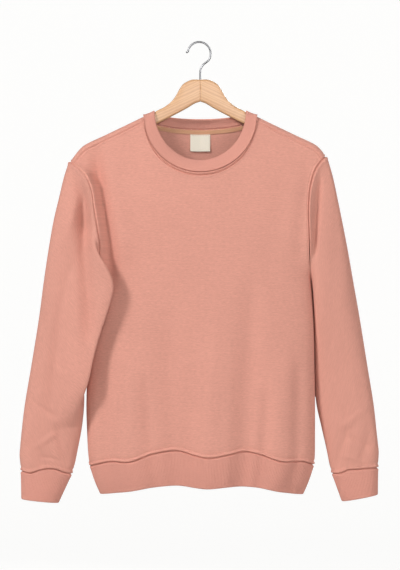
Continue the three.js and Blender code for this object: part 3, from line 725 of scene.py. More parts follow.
# Share along a stitch, height over the cloth, share of the thread's thickness.
STITCH_FORM = ((0, -0.45, 0.35), (0.12, -0.05, 0.95), (0.5, 0.12, 1), (0.88, -0.05, 0.95), (1, -0.45, 0.35))


def stitch_row(points, ups, stitch=STITCH):
    """The points and faces of a row of stitches laid along a line on the cloth."""
    walked = lengths(points[:, None], 0)[:, 0]
    count = max(int(walked[-1] / (stitch + STITCH_GAP)), 1)
    share, height, fullness = np.array(STITCH_FORM).T
    starts = (np.arange(count) + 0.5) * walked[-1] / count - stitch / 2
    places = starts[:, None] + share[None, :] * stitch
    centre = np.stack([np.interp(places, walked, points[:, k]) for k in range(3)], -1)
    up = np.stack([np.interp(places, walked, ups[:, k]) for k in range(3)], -1)
    up /= np.linalg.norm(up, axis=-1, keepdims=True)
    way = np.gradient(centre, axis=1)
    way /= np.maximum(np.linalg.norm(way, axis=-1, keepdims=True), 1e-9)
    side = np.cross(way, up)
    centre = centre + up * (height + THREAD_LIFT)[None, :, None]
    turn = 2 * math.pi * np.arange(STITCH_SIDES) / STITCH_SIDES
    ring = side[:, :, None] * np.cos(turn)[:, None] + up[:, :, None] * np.sin(turn)[:, None]
    ring = centre[:, :, None] + ring * (THREAD / 2 * fullness)[None, :, None, None]
    one = ring_faces(len(share), STITCH_SIDES)
    faces = moved_faces([one] * count, [len(share) * STITCH_SIDES] * count)
    return ring.reshape(-1, 3), faces


def moved_faces(parts, sizes):
    """The faces of several parts in one mesh, each part after the points of those before it."""
    faces, shift = [], 0
    for part, size in zip(parts, sizes):
        faces.extend([[number + shift for number in face] for face in part])
        shift += size
    return faces


def stitches(name, rows):
    """One object from several rows of stitches."""
    points, parts = zip(*rows)
    faces = moved_faces(parts, [len(row) for row in points])
    return mesh_object(name, np.concatenate(points), faces)


# Body panels
PANEL_STEPS, PANEL_LENGTH = 6, 590
TOP_ROWS, MIDDLE_ROWS = 18, 150
FOOT_ROWS = (10, 8, 6.5, 5.2, 4.2, 3.2, 2.2, 1.4, 0.7, 0.25, 0)
PUCKER_ROW, NECK_BLEND = 60, 0.5
NECK_STITCH_AT, SHOULDER_SEAM_AT = 5.8, 14.4
ARMHOLE_STITCH_AT, HEM_STITCH_AT = 5.4, 6.8
FLAT_DEEPEST, FLAT_HIDDEN, FLAT_REACH = 48, 0.6, 90

# Lines beside the seams: distance from the seam, width, depth. A depth below 0 is raised.
NECK_LINES = ((2.6, 1.7, -1.6), (NECK_STITCH_AT, 1.1, 1.2), (8.4, 1.8, -0.8))
SHOULDER_LINES = (
    (SHOULDER_SEAM_AT, 0.9, 1.0), (SHOULDER_SEAM_AT - 3.0, 2.0, -0.8), (SHOULDER_SEAM_AT + 2.8, 1.6, -0.6),
)
ARMHOLE_LINES = ((2.5, 1.7, -0.9), (ARMHOLE_STITCH_AT, 1.0, 1.0), (7.8, 1.8, -0.3))
HEM_LINES = ((3.0, 2.4, -1.9), (HEM_STITCH_AT, 1.5, 0.9))

# How far, and over what width, the cloth is turned in at a seam or under stitches.
FRONT_NECK_TURN, BACK_NECK_TURN, NECK_STITCH_TURN = (1.9, 1.2), (1.0, 0.9), (1.6, 1.2)
SHOULDER_TURN, ARMHOLE_TURN, SIDE_TURN, END_TURN = (0.6, 0.9), (3.2, 1.7), (1.0, 1.2), (2.8, 1.2)

# Puckers beside the seams: distance from the seam, height, reach.
NECK_PUCKER, ARMHOLE_PUCKER, HEM_PUCKER = (4, 0.25, 5), (5, 0.3, 6), (4, 0.5, 9)


def panel_rows():
    """Row numbers of a panel, by their share of the way down, close together at both ends."""
    top = np.arange(TOP_ROWS) / PANEL_LENGTH
    foot = 1 - np.array(FOOT_ROWS) / PANEL_LENGTH
    middle = np.linspace(top[-1], foot[0], MIDDLE_ROWS)[1:-1]
    tries = np.linspace(0, ARMHOLE_ROWS + SIDE_ROWS, FINE_STEPS)
    return np.interp(np.concatenate([top, middle, foot]), row_share(tries), tries)


def flat_panel_map(middle):
    """A map with level courses: out along the cloth from the middle, and down."""
    x, y, z = middle[..., 0], np.abs(middle[..., 1]), middle[..., 2]
    hidden = FLAT_HIDDEN * (FLAT_DEEPEST - y) * ease(np.abs(x) / FLAT_REACH)
    return (x + np.sign(x) * hidden) * MM, -z * MM


class Panel:
    """The front or the back, with the press of its seams and its top stitching."""

    def __init__(self, name, is_front):
        self.name = name
        self.is_front = is_front
        self.columns = np.linspace(-HALF_COLUMNS, HALF_COLUMNS, 2 * HALF_COLUMNS * PANEL_STEPS + 1)
        rows = panel_rows()
        middle = panel_grid(is_front, self.columns, rows)
        self.down, self.across = lengths(middle, 1), lengths(middle, 0)
        self.up, self.back = self.down[:, -1:] - self.down, self.across[-1:] - self.across
        self.beside = np.minimum(self.across, self.back)
        self.in_neck = np.abs(self.columns) <= NECK_COLUMNS
        self.on_hole = rows <= ARMHOLE_ROWS
        self.cloth, self.outer, self.normal = shell(
            name + "_cloth", middle, -1 if is_front else 1, False, FLEECE / 2,
            self.relief(), turned=self.turned(), flat_map=flat_panel_map(middle),
        )

    def past_neck(self):
        """The share of the shoulder's press on each column: none on the neckline."""
        return np.clip((np.abs(self.columns)[:, None] - NECK_COLUMNS) / NECK_BLEND, 0, 1)

    def relief(self):
        """Lines and puckers in the outer face beside the seams."""
        along = self.across[:, [PUCKER_ROW]] + 0 * self.down
        neck = pressed(self.down, NECK_LINES) + pucker(along, self.down, *NECK_PUCKER)
        shoulder = pressed(self.down, SHOULDER_LINES) * self.past_neck() if self.is_front else 0
        hole = pressed(self.beside, ARMHOLE_LINES) + pucker(self.down, self.beside, *ARMHOLE_PUCKER)
        hem = pressed(self.up, HEM_LINES) + pucker(along, self.up, *HEM_PUCKER)
        top = np.where(self.in_neck[:, None], neck, shoulder)
        return top + np.where(self.on_hole[None, :], hole, 0) + hem

    def turned(self):
        """How far the cloth is turned in at each place."""
        neck = seam_turn(self.down, *(FRONT_NECK_TURN if self.is_front else BACK_NECK_TURN))
        shoulder = 0
        if self.is_front:
            neck = neck + seam_turn(self.down - NECK_STITCH_AT, *NECK_STITCH_TURN)
            shoulder = self.past_neck() * seam_turn(self.down - SHOULDER_SEAM_AT, *SHOULDER_TURN)
        hole, side = seam_turn(self.beside, *ARMHOLE_TURN), seam_turn(self.beside, *SIDE_TURN)
        top = np.where(self.in_neck[:, None], neck, 0) + shoulder
        return top + np.where(self.on_hole[None, :], hole, side) + seam_turn(self.up, *END_TURN)

    def stitching(self):
        """The top stitching along the neckline, the armholes and the waistband."""
        neck, hole = self.in_neck, self.on_hole
        runs = [
            line_at(self.outer[neck], self.normal[neck], self.down[neck], NECK_STITCH_AT),
            line_at(self.outer[:, ::-1], self.normal[:, ::-1], self.up[:, ::-1], HEM_STITCH_AT),
        ]
        for walked, turn in ((self.across, 1), (self.back, -1)):
            grids = [np.swapaxes(grid, 0, 1)[hole][:, ::turn] for grid in (self.outer, self.normal, walked)]
            runs.append(line_at(*grids, ARMHOLE_STITCH_AT))
        return stitches(self.name + "_stitches", [stitch_row(points, ups) for points, ups in runs])


# Sleeves
SLEEVE_ROUND, SLEEVE_LENGTH, SLEEVE_CROWDING = 120, 560, 1.15
SLEEVE_SPACING = (0.7, 3.8, 6)
CUFF_STITCH_AT = 7.0
HEAD_LINES, HEAD_PUCKER = ((3.6, 2.8, -1.2),), (2, 0.4, 8)
WRIST_LINES, WRIST_PUCKER = ((3.0, 2.5, -1.5), (CUFF_STITCH_AT, 1.5, 0.8)), (3, 0.6, 10)


def sleeve(side):
    """A sleeve, and the row of stitches above its cuff."""
    angles = 2 * math.pi * np.arange(SLEEVE_ROUND) / SLEEVE_ROUND
    along = spaced(SLEEVE_LENGTH, *SLEEVE_SPACING) ** SLEEVE_CROWDING
    middle = sleeve_joined(side, along[None, :], angles[:, None])
    down = lengths(middle, 1)
    up = down[:, -1:] - down
    around = lengths(middle, 0)[:, [PUCKER_ROW]] + 0 * down
    relief = pressed(down, HEAD_LINES) + pucker(around, down, *HEAD_PUCKER)
    relief = relief + pressed(up, WRIST_LINES) + pucker(around, up, *WRIST_PUCKER)
    turned = seam_turn(down, *ARMHOLE_TURN) + seam_turn(up, *END_TURN)
    name = "sleeve_cloth_" + side.name
    made, outer, normal = shell(name, middle, side.sign, True, FLEECE / 2, relief, turned=turned)
    closed = [np.concatenate([grid, grid[:1]])[:, ::-1] for grid in (outer, normal, up)]
    return made, stitch_row(*line_at(*closed, CUFF_STITCH_AT))


# Ribbing
RIB_PITCH, RIB_POINTS, RIB_RELIEF, RIB_INSIDE = 2.7, 5, 0.32, 0.5
RIB_FLAT_REACH, RIB_FLAT_EDGE = 2.5, 0.35
BAND_SPACING = (0.35, 2.6, 5)
BAND_LINES, BAND_PUCKER = ((3.2, 2.4, -0.4),), (0, 0.35, 9)
CUFF_WIDTH, WAISTBAND_WIDTH, COLLAR_WIDTH = 52, 58, 23
BAND_TURN, COLLAR_TURN = (2.5, 1.3), (1.5, 1.3)
SHOULDER_PRESS, PRESS_SPREAD, PRESS_THINNING = (2.5, 9), 0.3, 0.14


def rib_relief(count, down, up):
    """Rib after rib round a band, flattened where it is sewn."""
    ribs = np.cos(2 * math.pi * np.arange(count) / RIB_POINTS)[:, None]
    return RIB_RELIEF * ribs * ease(down / RIB_FLAT_REACH) * ease(up / RIB_FLAT_REACH + RIB_FLAT_EDGE)


def band(name, surface, whole, width, outward, turn, press=None):
    """A doubled rib band: its columns follow the surface round, its rows run to the rolled edge."""

    def halfway(places):
        return surface(places, np.full_like(places, 0.5))

    total = even_places(halfway, whole, 1)[1]
    count = int(round(total / RIB_PITCH)) * RIB_POINTS
    places = even_places(halfway, whole, count)[0]
    middle = surface(*np.meshgrid(places, spaced(width, *BAND_SPACING), indexing="ij"))
    down = lengths(middle, 1)
    up = down[:, -1:] - down
    around = np.linspace(0, total, count)[:, None]
    relief = rib_relief(count, down, up) + pucker(around, down, *BAND_PUCKER) + pressed(down, BAND_LINES)
    half, turned = rounded_rim(up, DOUBLED_RIB), seam_turn(down, *turn)
    if press:
        sunk = press(places[:, None], down)
        half, turned = half * (1 - PRESS_THINNING * sunk), turned + sunk
    return shell(name, middle, outward, True, half, relief, -RIB_INSIDE * relief, turned=turned)[0]


def cuff(side):
    surface = partial(cuff_surface, side)
    return band("cuff_rib_" + side.name, surface, 2 * math.pi, CUFF_WIDTH, side.sign, BAND_TURN)


def waistband():
    return band("waistband_rib", waistband_surface, 4 * HALF_COLUMNS, WAISTBAND_WIDTH, -1, BAND_TURN)


def shoulder_press(angle, down):
    """How far the collar is pressed down where its seam crosses the shoulders."""
    return np.exp(-((np.sin(angle) / PRESS_SPREAD) ** 2)) * seam_turn(down, *SHOULDER_PRESS)


def collar():
    return band("collar_rib", collar_surface, 2 * math.pi, COLLAR_WIDTH, 1, COLLAR_TURN, shoulder_press)


# Tape and label
TAPE_COLUMNS, TAPE_SPACING = 161, (0.15, 0.7, 4)
TAPE_STITCH_AT, TAPE_STITCH, TAPE_LINE = 1.3, 2.4, (1.3, 0.5, 0.15)
LABEL_COLUMNS, LABEL_SPACING = 61, (0.15, 0.8, 5)
LABEL_BELOW_TAPE, LABEL_WAVE, LABEL_WAVE_SPACING = 1, 0.25, 5
LABEL_STITCH_AT, LABEL_STITCH, LABEL_SIDE = 1.6, 2.2, 3
LABEL_FOLD_LINE, SELVEDGE_LINE = (3, 0.5, 0.12), (1.4, 0.4, 0.08)


def neck_tape():
    """The tape on the inside of the back neck seam, and its two rows of stitches."""
    x = np.linspace(-TAPE_HALF_LENGTH, TAPE_HALF_LENGTH, TAPE_COLUMNS)[:, None]
    down = spaced(TAPE_HEIGHT, *TAPE_SPACING)[None, :]
    middle = inside_back(x, TAPE_BELOW_SEAM + TAPE_HEIGHT * down, TAPE_WALL / 2)
    walked = lengths(middle, 1)
    edge = np.minimum(walked, walked[:, -1:] - walked)
    half, relief = rounded_rim(edge, TAPE_WALL), groove(edge, *TAPE_LINE)
    made, outer, normal = shell("neck_tape_twill", middle, -1, False, half, relief)
    places = (TAPE_STITCH_AT, TAPE_HEIGHT - TAPE_STITCH_AT)
    return made, [stitch_row(*line_at(outer, normal, walked, at), TAPE_STITCH) for at in places]


def label():
    """The bare woven label, and the row of stitches that holds its top."""
    x = np.linspace(-LABEL_HALF_WIDTH, LABEL_HALF_WIDTH, LABEL_COLUMNS)[:, None]
    down = spaced(LABEL_HEIGHT, *LABEL_SPACING)[None, :]
    lift = LABEL_WALL / 2 + LABEL_LIFT * down**2 + LABEL_WAVE * np.sin(x / LABEL_WAVE_SPACING) * down
    middle = inside_back(x, TAPE_HEIGHT + LABEL_BELOW_TAPE + LABEL_HEIGHT * down, lift)
    walked, across = lengths(middle, 1), lengths(middle, 0)
    ends, sides = (np.minimum(walked, walked[:, -1:] - walked), np.minimum(across, across[-1:] - across))
    relief = groove(walked, *LABEL_FOLD_LINE) + groove(sides, *SELVEDGE_LINE)
    half = rounded_rim(np.minimum(ends, sides), LABEL_WALL)
    made, outer, normal = shell("label_woven", middle, -1, False, half, relief)
    sewn = slice(LABEL_SIDE, -LABEL_SIDE)
    line = line_at(outer[sewn], normal[sewn], walked[sewn], LABEL_STITCH_AT)
    return made, [stitch_row(*line, LABEL_STITCH)]


# Hanger arms
ARM_SIDES, ARM_STEPS, ARM_END_STEPS = 40, 110, 10
MITRE_AT, MITRE_ROUND = (0.05, 0.3, 0.8), (0.5, 0.15)
ARM_FROM, ARM_TO, END_START = 2, 6, 0.1
WOOD_END_DROP, END_SLIMMING, END_LEAST, CORNER_LEAST = 1.5, 0.75, 0.004, 0.02

# Out from the middle, height: an arm's edges. Further out the upper one follows the cloth's ridge.
WOOD_UPPER = (
    (0, WOOD_TOP), (14, WOOD_TOP), (23, -69.2), (31.3, -74.5), (37.5, -83), (42.8, -92.9), (52, -105.5),
    (65.7, -115.9), (79.6, -123), (86, -129.5), (96, -135), (104, -139.8),
)
WOOD_LOWER = (
    (0, WOOD_APEX), (10, -109), (24, -117.5), (49.7, -131.2), (77.9, -145.5), (120, -165), (160, -183),
)
WOOD_UNDER_RIDGE = (112, 122, 138, 154, 170, 186, 197)


def under_ridge(x):
    return float(ridge_height(np.array(float(x)))) - WOOD_SEAT


def wood_edges():
    """The upper and the lower edge of an arm."""
    end = under_ridge(WOOD_END) - WOOD_END_DROP
    upper = WOOD_UPPER + tuple((x, under_ridge(x)) for x in WOOD_UNDER_RIDGE) + ((WOOD_END, end),)
    return upper, WOOD_LOWER + ((WOOD_END, end - WOOD_END_HEIGHT),)


def rounded_section(height, thick, radius):
    """Points round a rounded rectangle, as rows of up and rows of across."""
    turn = 2 * math.pi * (np.arange(ARM_SIDES) + 0.5) / ARM_SIDES
    up, across = np.sin(turn), np.cos(turn)
    corner_up = np.sign(up)[None, :] * (height[:, None] / 2 - radius[:, None])
    corner_across = np.sign(across)[None, :] * (thick[:, None] / 2 - radius[:, None])
    return corner_up + up[None, :] * radius[:, None], corner_across + across[None, :] * radius[:, None]


def hanger_arm(side):
    """One arm from the mitre in the middle to its rounded end."""
    end_turn = np.linspace(END_START, math.pi / 2, ARM_END_STEPS)
    straight = np.linspace(ARM_FROM, WOOD_END - ARM_TO, ARM_STEPS)
    x = np.concatenate([MITRE_AT, straight, WOOD_END - WOOD_END_ROUND * (1 - np.sin(end_turn))])
    high, low = (curve(edge, 1, x) for edge in wood_edges())
    past = np.clip((x - (WOOD_END - WOOD_END_ROUND)) / WOOD_END_ROUND, 0, 1)
    shrink = np.sqrt(np.maximum(1 - past**2, END_LEAST))
    mitre = np.zeros(len(x))
    mitre[: len(MITRE_ROUND)] = MITRE_ROUND
    height = (high - low - 2 * mitre) * mix(1, shrink, END_SLIMMING)
    thick = (WOOD_THICK - 2 * mitre) * shrink
    radius = np.minimum(WOOD_ROUND * shrink, np.minimum(height, thick) / 2 - CORNER_LEAST)
    up, across = rounded_section(height, thick, radius)
    rings = point(side.sign * x[:, None], across, (high + low)[:, None] / 2 + up)
    faces = ring_faces(len(x), ARM_SIDES)
    if side.sign > 0:
        faces = [face[::-1] for face in faces]
    made = mesh_object("hanger_arm_" + side.name, rings.reshape(-1, 3), faces)
    for cap in (-1, -2):
        made.data.polygons[cap].use_smooth = False
    return made


# Hook
HOOK_SIDES, HOOK_STEPS = 20, 240
HOOK_BEND = (170, -38, 13)
HOOK_TIP_OUT, HOOK_TIP_UP = 3, 1.5
HOOK_NECK = ((5.5, 0, -39), (1, 0, -46), (0, 0, -54), (0, 0, -64), (0, 0, WOOD_TOP - STEM_IN_WOOD))


def through(points, count):
    """A smooth line through points, stepped evenly."""
    points = np.array(points, float)
    walked = np.concatenate([[0], np.cumsum(np.sqrt(np.linalg.norm(np.diff(points, axis=0), axis=1)))])
    tries = np.linspace(0, walked[-1], FINE_STEPS)
    found = np.stack([curve(np.stack([walked, points[:, k]], -1).tolist(), 1, tries) for k in range(3)], -1)
    along = lengths(found[:, None], 0)[:, 0]
    even = np.linspace(0, along[-1], count)
    return np.stack([np.interp(even, along, found[:, k]) for k in range(3)], -1)


def hook_line():
    """The middle of the wire, from its tip round the bend and down into the wood."""
    radius = HOOK_INSIDE + HOOK_WIRE / 2
    line = [(HOOK_OFFSET - radius - HOOK_TIP_OUT, 0, -HOOK_INSIDE + HOOK_TIP_UP)]
    for turn in np.radians(np.linspace(*HOOK_BEND)):
        line.append((HOOK_OFFSET + radius * math.cos(turn), 0, -HOOK_INSIDE + radius * math.sin(turn)))
    return through(line + list(HOOK_NECK), HOOK_STEPS)


def hook():
    """The bent wire, rounded over at its tip."""
    centre = hook_line()
    way = np.gradient(centre, axis=0)
    way /= np.linalg.norm(way, axis=1, keepdims=True)
    flat = np.array([0.0, 1.0, 0.0])
    across = np.cross(way, flat)
    size = rounded_rim(lengths(centre[:, None], 0)[:, 0], HOOK_WIRE)
    turn = 2 * math.pi * np.arange(HOOK_SIDES) / HOOK_SIDES
    ring = across[:, None] * np.cos(turn)[None, :, None] + flat * np.sin(turn)[None, :, None]
    ring = centre[:, None] + ring * size[:, None, None]
    return mesh_object("hook_wire", ring.reshape(-1, 3), ring_faces(HOOK_STEPS, HOOK_SIDES))


# Colours, linear
PEACH = (0.665, 0.305, 0.236, 1)
PEACH_RIB = (0.635, 0.285, 0.222, 1)
PEACH_SHEEN = (1, 0.82, 0.74, 1)
TAN = (0.62, 0.33, 0.19, 1)
CREAM = (0.80, 0.74, 0.62, 1)
BEECH_PALE, BEECH_DEEP = (0.64, 0.375, 0.195, 1), (0.40, 0.19, 0.085, 1)
CHROME = (0.3, 0.3, 0.31, 1)
PAPER, PAPER_SEEN, PAPER_GLOW = (0.5, 0.5, 0.49, 1), (0.16, 0.16, 0.158, 1), (1, 0.998, 0.99, 1)


def add(tree, kind, **inputs):
    """A node with its input sockets set by name."""
    made = tree.nodes.new(kind)
    for name, value in inputs.items():
        made.inputs[name.replace("_", " ")].default_value = value
    return made


def number(tree, operation, first, second=None, third=None):
    """A Math node over links and plain numbers."""
    made = tree.nodes.new("ShaderNodeMath")
    made.operation = operation
    for index, value in enumerate((first, second, third)):
        if value is None:
            continue
        if hasattr(value, "links"):
            tree.links.new(value, made.inputs[index])
        else:
            made.inputs[index].default_value = value
    return made.outputs[0]


def total_of(tree, first, *others):
    """The sum of several values."""
    whole = first
    for value in others:
        whole = number(tree, "ADD", whole, value)
    return whole


def swing(tree, value, amount):
    """How far a noise swings about its middle, times an amount."""
    return number(tree, "MULTIPLY", number(tree, "SUBTRACT", value, 0.5), amount)


def scaled(tree, vector, amounts):
    made = tree.nodes.new("ShaderNodeVectorMath")
    made.operation = "MULTIPLY"
    tree.links.new(vector, made.inputs[0])
    made.inputs[1].default_value = amounts
    return made.outputs[0]


def new_group(name, inputs, outputs):
    """An empty shader group with named sockets."""
    group = bpy.data.node_groups.new(name, "ShaderNodeTree")
    for socket, kind, value in inputs:
        group.interface.new_socket(name=socket, in_out="INPUT", socket_type=kind).default_value = value
    for socket, kind in outputs:
        group.interface.new_socket(name=socket, in_out="OUTPUT", socket_type=kind)
    return group, group.nodes.new("NodeGroupInput"), group.nodes.new("NodeGroupOutput")


def noise(tree, vector, scale, detail=2.0, rough=0.5):
    made = add(tree, "ShaderNodeTexNoise", Scale=scale, Detail=detail, Roughness=rough)
    tree.links.new(vector, made.inputs["Vector"])
    return made.outputs["Fac"]


def shaded(tree, colour, amount):
    """A colour made lighter or darker by a value about 1."""
    made = tree.nodes.new("ShaderNodeHueSaturation")
    tree.links.new(colour, made.inputs["Color"])
    tree.links.new(amount, made.inputs["Value"])
    return made.outputs["Color"]


def cloth_map(tree):
    """The map laid on the cloth in metres: whole, across and down."""
    laid = tree.nodes.new("ShaderNodeUVMap")
    laid.uv_map = "cloth"
    split = tree.nodes.new("ShaderNodeSeparateXYZ")
    tree.links.new(laid.outputs[0], split.inputs[0])
    return laid.outputs[0], split.outputs[0], split.outputs[1]


# Knit: the stitch against its column's width, and the heights of its legs and columns.
COURSE_SHARE, LEG_HEIGHT, WALE_HEIGHT = 0.8, 0.3, -0.35
FUZZ_FINENESS, CLOUD_FINENESS = 1400.0, 14.0
# Tone swings of the fuzz and the clouds, and the painted shade and highlight that follow the stitches'
# relief.
FUZZ_TONE, CLOUD_TONE, STITCH_SHADE_TONE = 0.16, 0.06, 0.03
FUZZ_ROUGH, KNIT_ROUGH = 0.12, 0.84

# Streaks of uneven yarn: how many across and down a metre, detail, roughness, share.
YARN_STREAKS = (
    ((150, 900, 1), 4.0, 0.7, 1), ((24, 330, 1), 3.0, 0.6, 0.45), ((130, 420, 1), 3.0, 0.75, 1),
)


def knitted_height(tree, across, down, wale):
    """Small leaning stitches in columns."""
    column = number(tree, "DIVIDE", across, wale)
    lean = number(tree, "ABSOLUTE", number(tree, "SUBTRACT", number(tree, "FRACT", column), 0.5))
    course = number(tree, "DIVIDE", down, number(tree, "MULTIPLY", wale, COURSE_SHARE))
    legs = number(tree, "SINE", number(tree, "MULTIPLY", number(tree, "ADD", course, lean), 2 * math.pi))
    columns = number(tree, "COSINE", number(tree, "MULTIPLY", lean, 4 * math.pi))
    legs, columns = number(tree, "MULTIPLY", legs, LEG_HEIGHT), number(tree, "MULTIPLY", columns, WALE_HEIGHT)
    return number(tree, "ADD", legs, columns)


def yarn_tone(tree, laid, fuzz, stitch, streak):
    """How light the yarn is, about 1: streaks, fuzz, broad clouds, and painted shade and highlight on the
    stitches.
    """
    streaks = []
    for often, detail, rough, share in YARN_STREAKS:
        streaks.append(swing(tree, noise(tree, scaled(tree, laid, often), 1.0, detail, rough), share))
    tone = number(tree, "MULTIPLY_ADD", total_of(tree, *streaks), streak, 1.0)
    clouds = noise(tree, laid, CLOUD_FINENESS)
    # Painted shade in the stitches' hollows and painted highlight on their raised legs.
    stitch_shade = number(tree, "MULTIPLY", stitch, STITCH_SHADE_TONE)
    return total_of(tree, tone, swing(tree, fuzz, FUZZ_TONE), swing(tree, clouds, CLOUD_TONE), stitch_shade)


def knit_group():
    """Knitted cloth: columns of small stitches, slubby yarn streaks, and brushed fuzz."""
    group, given, out = new_group(
        "knit face",
        [("Color", "NodeSocketColor", PEACH), ("Wale", "NodeSocketFloat", 0.0011),
         ("Streak", "NodeSocketFloat", 0.1), ("Fuzz", "NodeSocketFloat", 0.5)],
        [("Color", "NodeSocketColor"), ("Height", "NodeSocketFloat"), ("Roughness", "NodeSocketFloat")],
    )
    laid, across, down = cloth_map(group)
    fuzz = noise(group, laid, FUZZ_FINENESS, 4.0, 0.65)
    stitch = knitted_height(group, across, down, given.outputs["Wale"])
    tone = yarn_tone(group, laid, fuzz, stitch, given.outputs["Streak"])
    height = number(group, "ADD", stitch, number(group, "MULTIPLY", fuzz, given.outputs["Fuzz"]))
    rough = number(group, "MULTIPLY_ADD", fuzz, FUZZ_ROUGH, KNIT_ROUGH)
    group.links.new(shaded(group, given.outputs["Color"], tone), out.inputs["Color"])
    group.links.new(height, out.inputs["Height"])
    group.links.new(rough, out.inputs["Roughness"])
    return group


def surface_material(name, **sockets):
    """A material with a Principled surface, and its tree."""
    material = bpy.data.materials.new(name)
    material.use_nodes = True
    surface = material.node_tree.nodes["Principled BSDF"]
    for socket, value in sockets.items():
        surface.inputs[socket.replace("_", " ")].default_value = value
    return material, material.node_tree, surface


def tinted(tree, surface, colour, tone):
    """Gives a surface one colour, lighter and darker by a tone about 1."""
    plain = tree.nodes.new("ShaderNodeRGB")
    plain.outputs[0].default_value = colour
    tree.links.new(shaded(tree, plain.outputs[0], tone), surface.inputs["Base Color"])


def bumped(tree, surface, height, strength, distance):
    bump = add(tree, "ShaderNodeBump", Strength=strength, Distance=distance)
    tree.links.new(height, bump.inputs["Height"])
    tree.links.new(bump.outputs["Normal"], surface.inputs["Normal"])


def knit_material(name, group, colour, wale, streak, fuzz, strength, sheen):
    """Fleece or ribbing: the knit group with its own yarn, stitch width in metres and softness."""
    material, tree, surface = surface_material(
        name, Sheen_Weight=sheen, Sheen_Roughness=0.6, Sheen_Tint=PEACH_SHEEN, Specular_IOR_Level=0.25
    )
    knit = tree.nodes.new("ShaderNodeGroup")
    knit.node_tree = group
    for socket, value in (("Color", colour), ("Wale", wale), ("Streak", streak), ("Fuzz", fuzz)):
        knit.inputs[socket].default_value = value
    tree.links.new(knit.outputs["Color"], surface.inputs["Base Color"])
    tree.links.new(knit.outputs["Roughness"], surface.inputs["Roughness"])
    bumped(tree, surface, knit.outputs["Height"], strength, 0.0003)
    return material


# Woven pieces: where the herringbone turns, and how many waves of yarn stand in a metre.
HERRINGBONE_TURN, TWILL_WAVES = 0.004, 6500.0
WARP_WAVES, WEFT_WAVES = 14000.0, 11000.0


def tape_material():
    """Herringbone cotton tape."""
    material, tree, surface = surface_material("twill tape", Roughness=0.85, Specular_IOR_Level=0.3)
    laid, across, down = cloth_map(tree)
    lean = number(tree, "ABSOLUTE", number(tree, "SUBTRACT", down, HERRINGBONE_TURN))
    slant = number(tree, "ADD", across, lean)
    twill = number(tree, "SINE", number(tree, "MULTIPLY", slant, TWILL_WAVES))
    fuzz = noise(tree, laid, 1500.0, 3.0)
    tone = number(tree, "MULTIPLY_ADD", twill, 0.07, 0.93)
    tinted(tree, surface, TAN, number(tree, "ADD", tone, number(tree, "MULTIPLY", fuzz, 0.14)))
    bumped(tree, surface, number(tree, "ADD", twill, fuzz), 0.6, 0.00025)
    return material


def label_material():
    """Plain woven cotton, with nothing printed on it."""
    material, tree, surface = surface_material("woven label", Roughness=0.8, Specular_IOR_Level=0.3)
    laid, across, down = cloth_map(tree)
    warp = number(tree, "SINE", number(tree, "MULTIPLY", across, WARP_WAVES))
    weft = number(tree, "SINE", number(tree, "MULTIPLY", down, WEFT_WAVES))
    weave = number(tree, "MULTIPLY", warp, weft)
    fuzz = noise(tree, laid, 900.0, 3.0)
    tone = number(tree, "MULTIPLY_ADD", weave, 0.03, 0.95)
    tinted(tree, surface, CREAM, number(tree, "ADD", tone, number(tree, "MULTIPLY", fuzz, 0.1)))
    bumped(tree, surface, number(tree, "ADD", weave, fuzz), 0.5, 0.0002)
    return material


def thread_material():
    """Twisted sewing thread."""
    material, tree, surface = surface_material("sewing thread", Roughness=0.6, Sheen_Weight=0.2)
    twist = noise(tree, tree.nodes.new("ShaderNodeTexCoord").outputs["Object"], 2500.0)
    tinted(tree, surface, PEACH, number(tree, "MULTIPLY_ADD", twist, 0.3, 0.9))
    bumped(tree, surface, twist, 0.4, 0.0002)
    return material


# Beech: the grain's slope along an arm, and how much longer it is than wide.
GRAIN_SLOPE, GRAIN_STRETCH, FLECK_STRETCH = -0.43, 0.05, 0.12
RING_SHARE, WANDER_SHARE, FLECK_SHARE = 0.3, 0.5, 0.5
PALE_BELOW, DEEP_ABOVE = 0.2, 0.95


def grain_space(tree):
    """The object's space, mirrored about the middle and laid along the arms."""
    split = tree.nodes.new("ShaderNodeSeparateXYZ")
    tree.links.new(tree.nodes.new("ShaderNodeTexCoord").outputs["Object"], split.inputs[0])
    joined = tree.nodes.new("ShaderNodeCombineXYZ")
    tree.links.new(number(tree, "ABSOLUTE", split.outputs[0]), joined.inputs[0])
    tree.links.new(split.outputs[1], joined.inputs[1])
    tree.links.new(split.outputs[2], joined.inputs[2])
    turned = add(tree, "ShaderNodeMapping", Rotation=(0, GRAIN_SLOPE, 0))
    tree.links.new(joined.outputs[0], turned.inputs["Vector"])
    return turned.outputs[0]


def beech_material():
    """Warm beech, its grain running out along both arms from the mitre in the middle."""
    material, tree, surface = surface_material("beech", Coat_Weight=0.25, Coat_Roughness=0.3)
    space = grain_space(tree)
    along = scaled(tree, space, (GRAIN_STRETCH, 1, 1))
    wander = noise(tree, along, 60.0, 3.0)
    rings = add(tree, "ShaderNodeTexWave", Scale=70.0, Distortion=5.0, Detail=3.0, Detail_Scale=2.0)
    rings.bands_direction = "Z"
    tree.links.new(along, rings.inputs["Vector"])
    flecks = noise(tree, scaled(tree, space, (FLECK_STRETCH, 1, 1)), 900.0, 3.0, 0.7)
    ringed = number(tree, "MULTIPLY", rings.outputs["Fac"], RING_SHARE)
    wandering = number(tree, "MULTIPLY", wander, WANDER_SHARE)
    share = total_of(tree, ringed, wandering, swing(tree, flecks, FLECK_SHARE))
    ramp = tree.nodes.new("ShaderNodeValToRGB")
    ends = ((PALE_BELOW, BEECH_PALE), (DEEP_ABOVE, BEECH_DEEP))
    for stop, (position, colour) in zip(ramp.color_ramp.elements, ends):
        stop.position, stop.color = position, colour
    tree.links.new(share, ramp.inputs[0])
    tree.links.new(ramp.outputs[0], surface.inputs["Base Color"])
    tree.links.new(number(tree, "MULTIPLY_ADD", flecks, 0.2, 0.33), surface.inputs["Roughness"])
    bumped(tree, surface, share, 0.25, 0.0003)
    return material


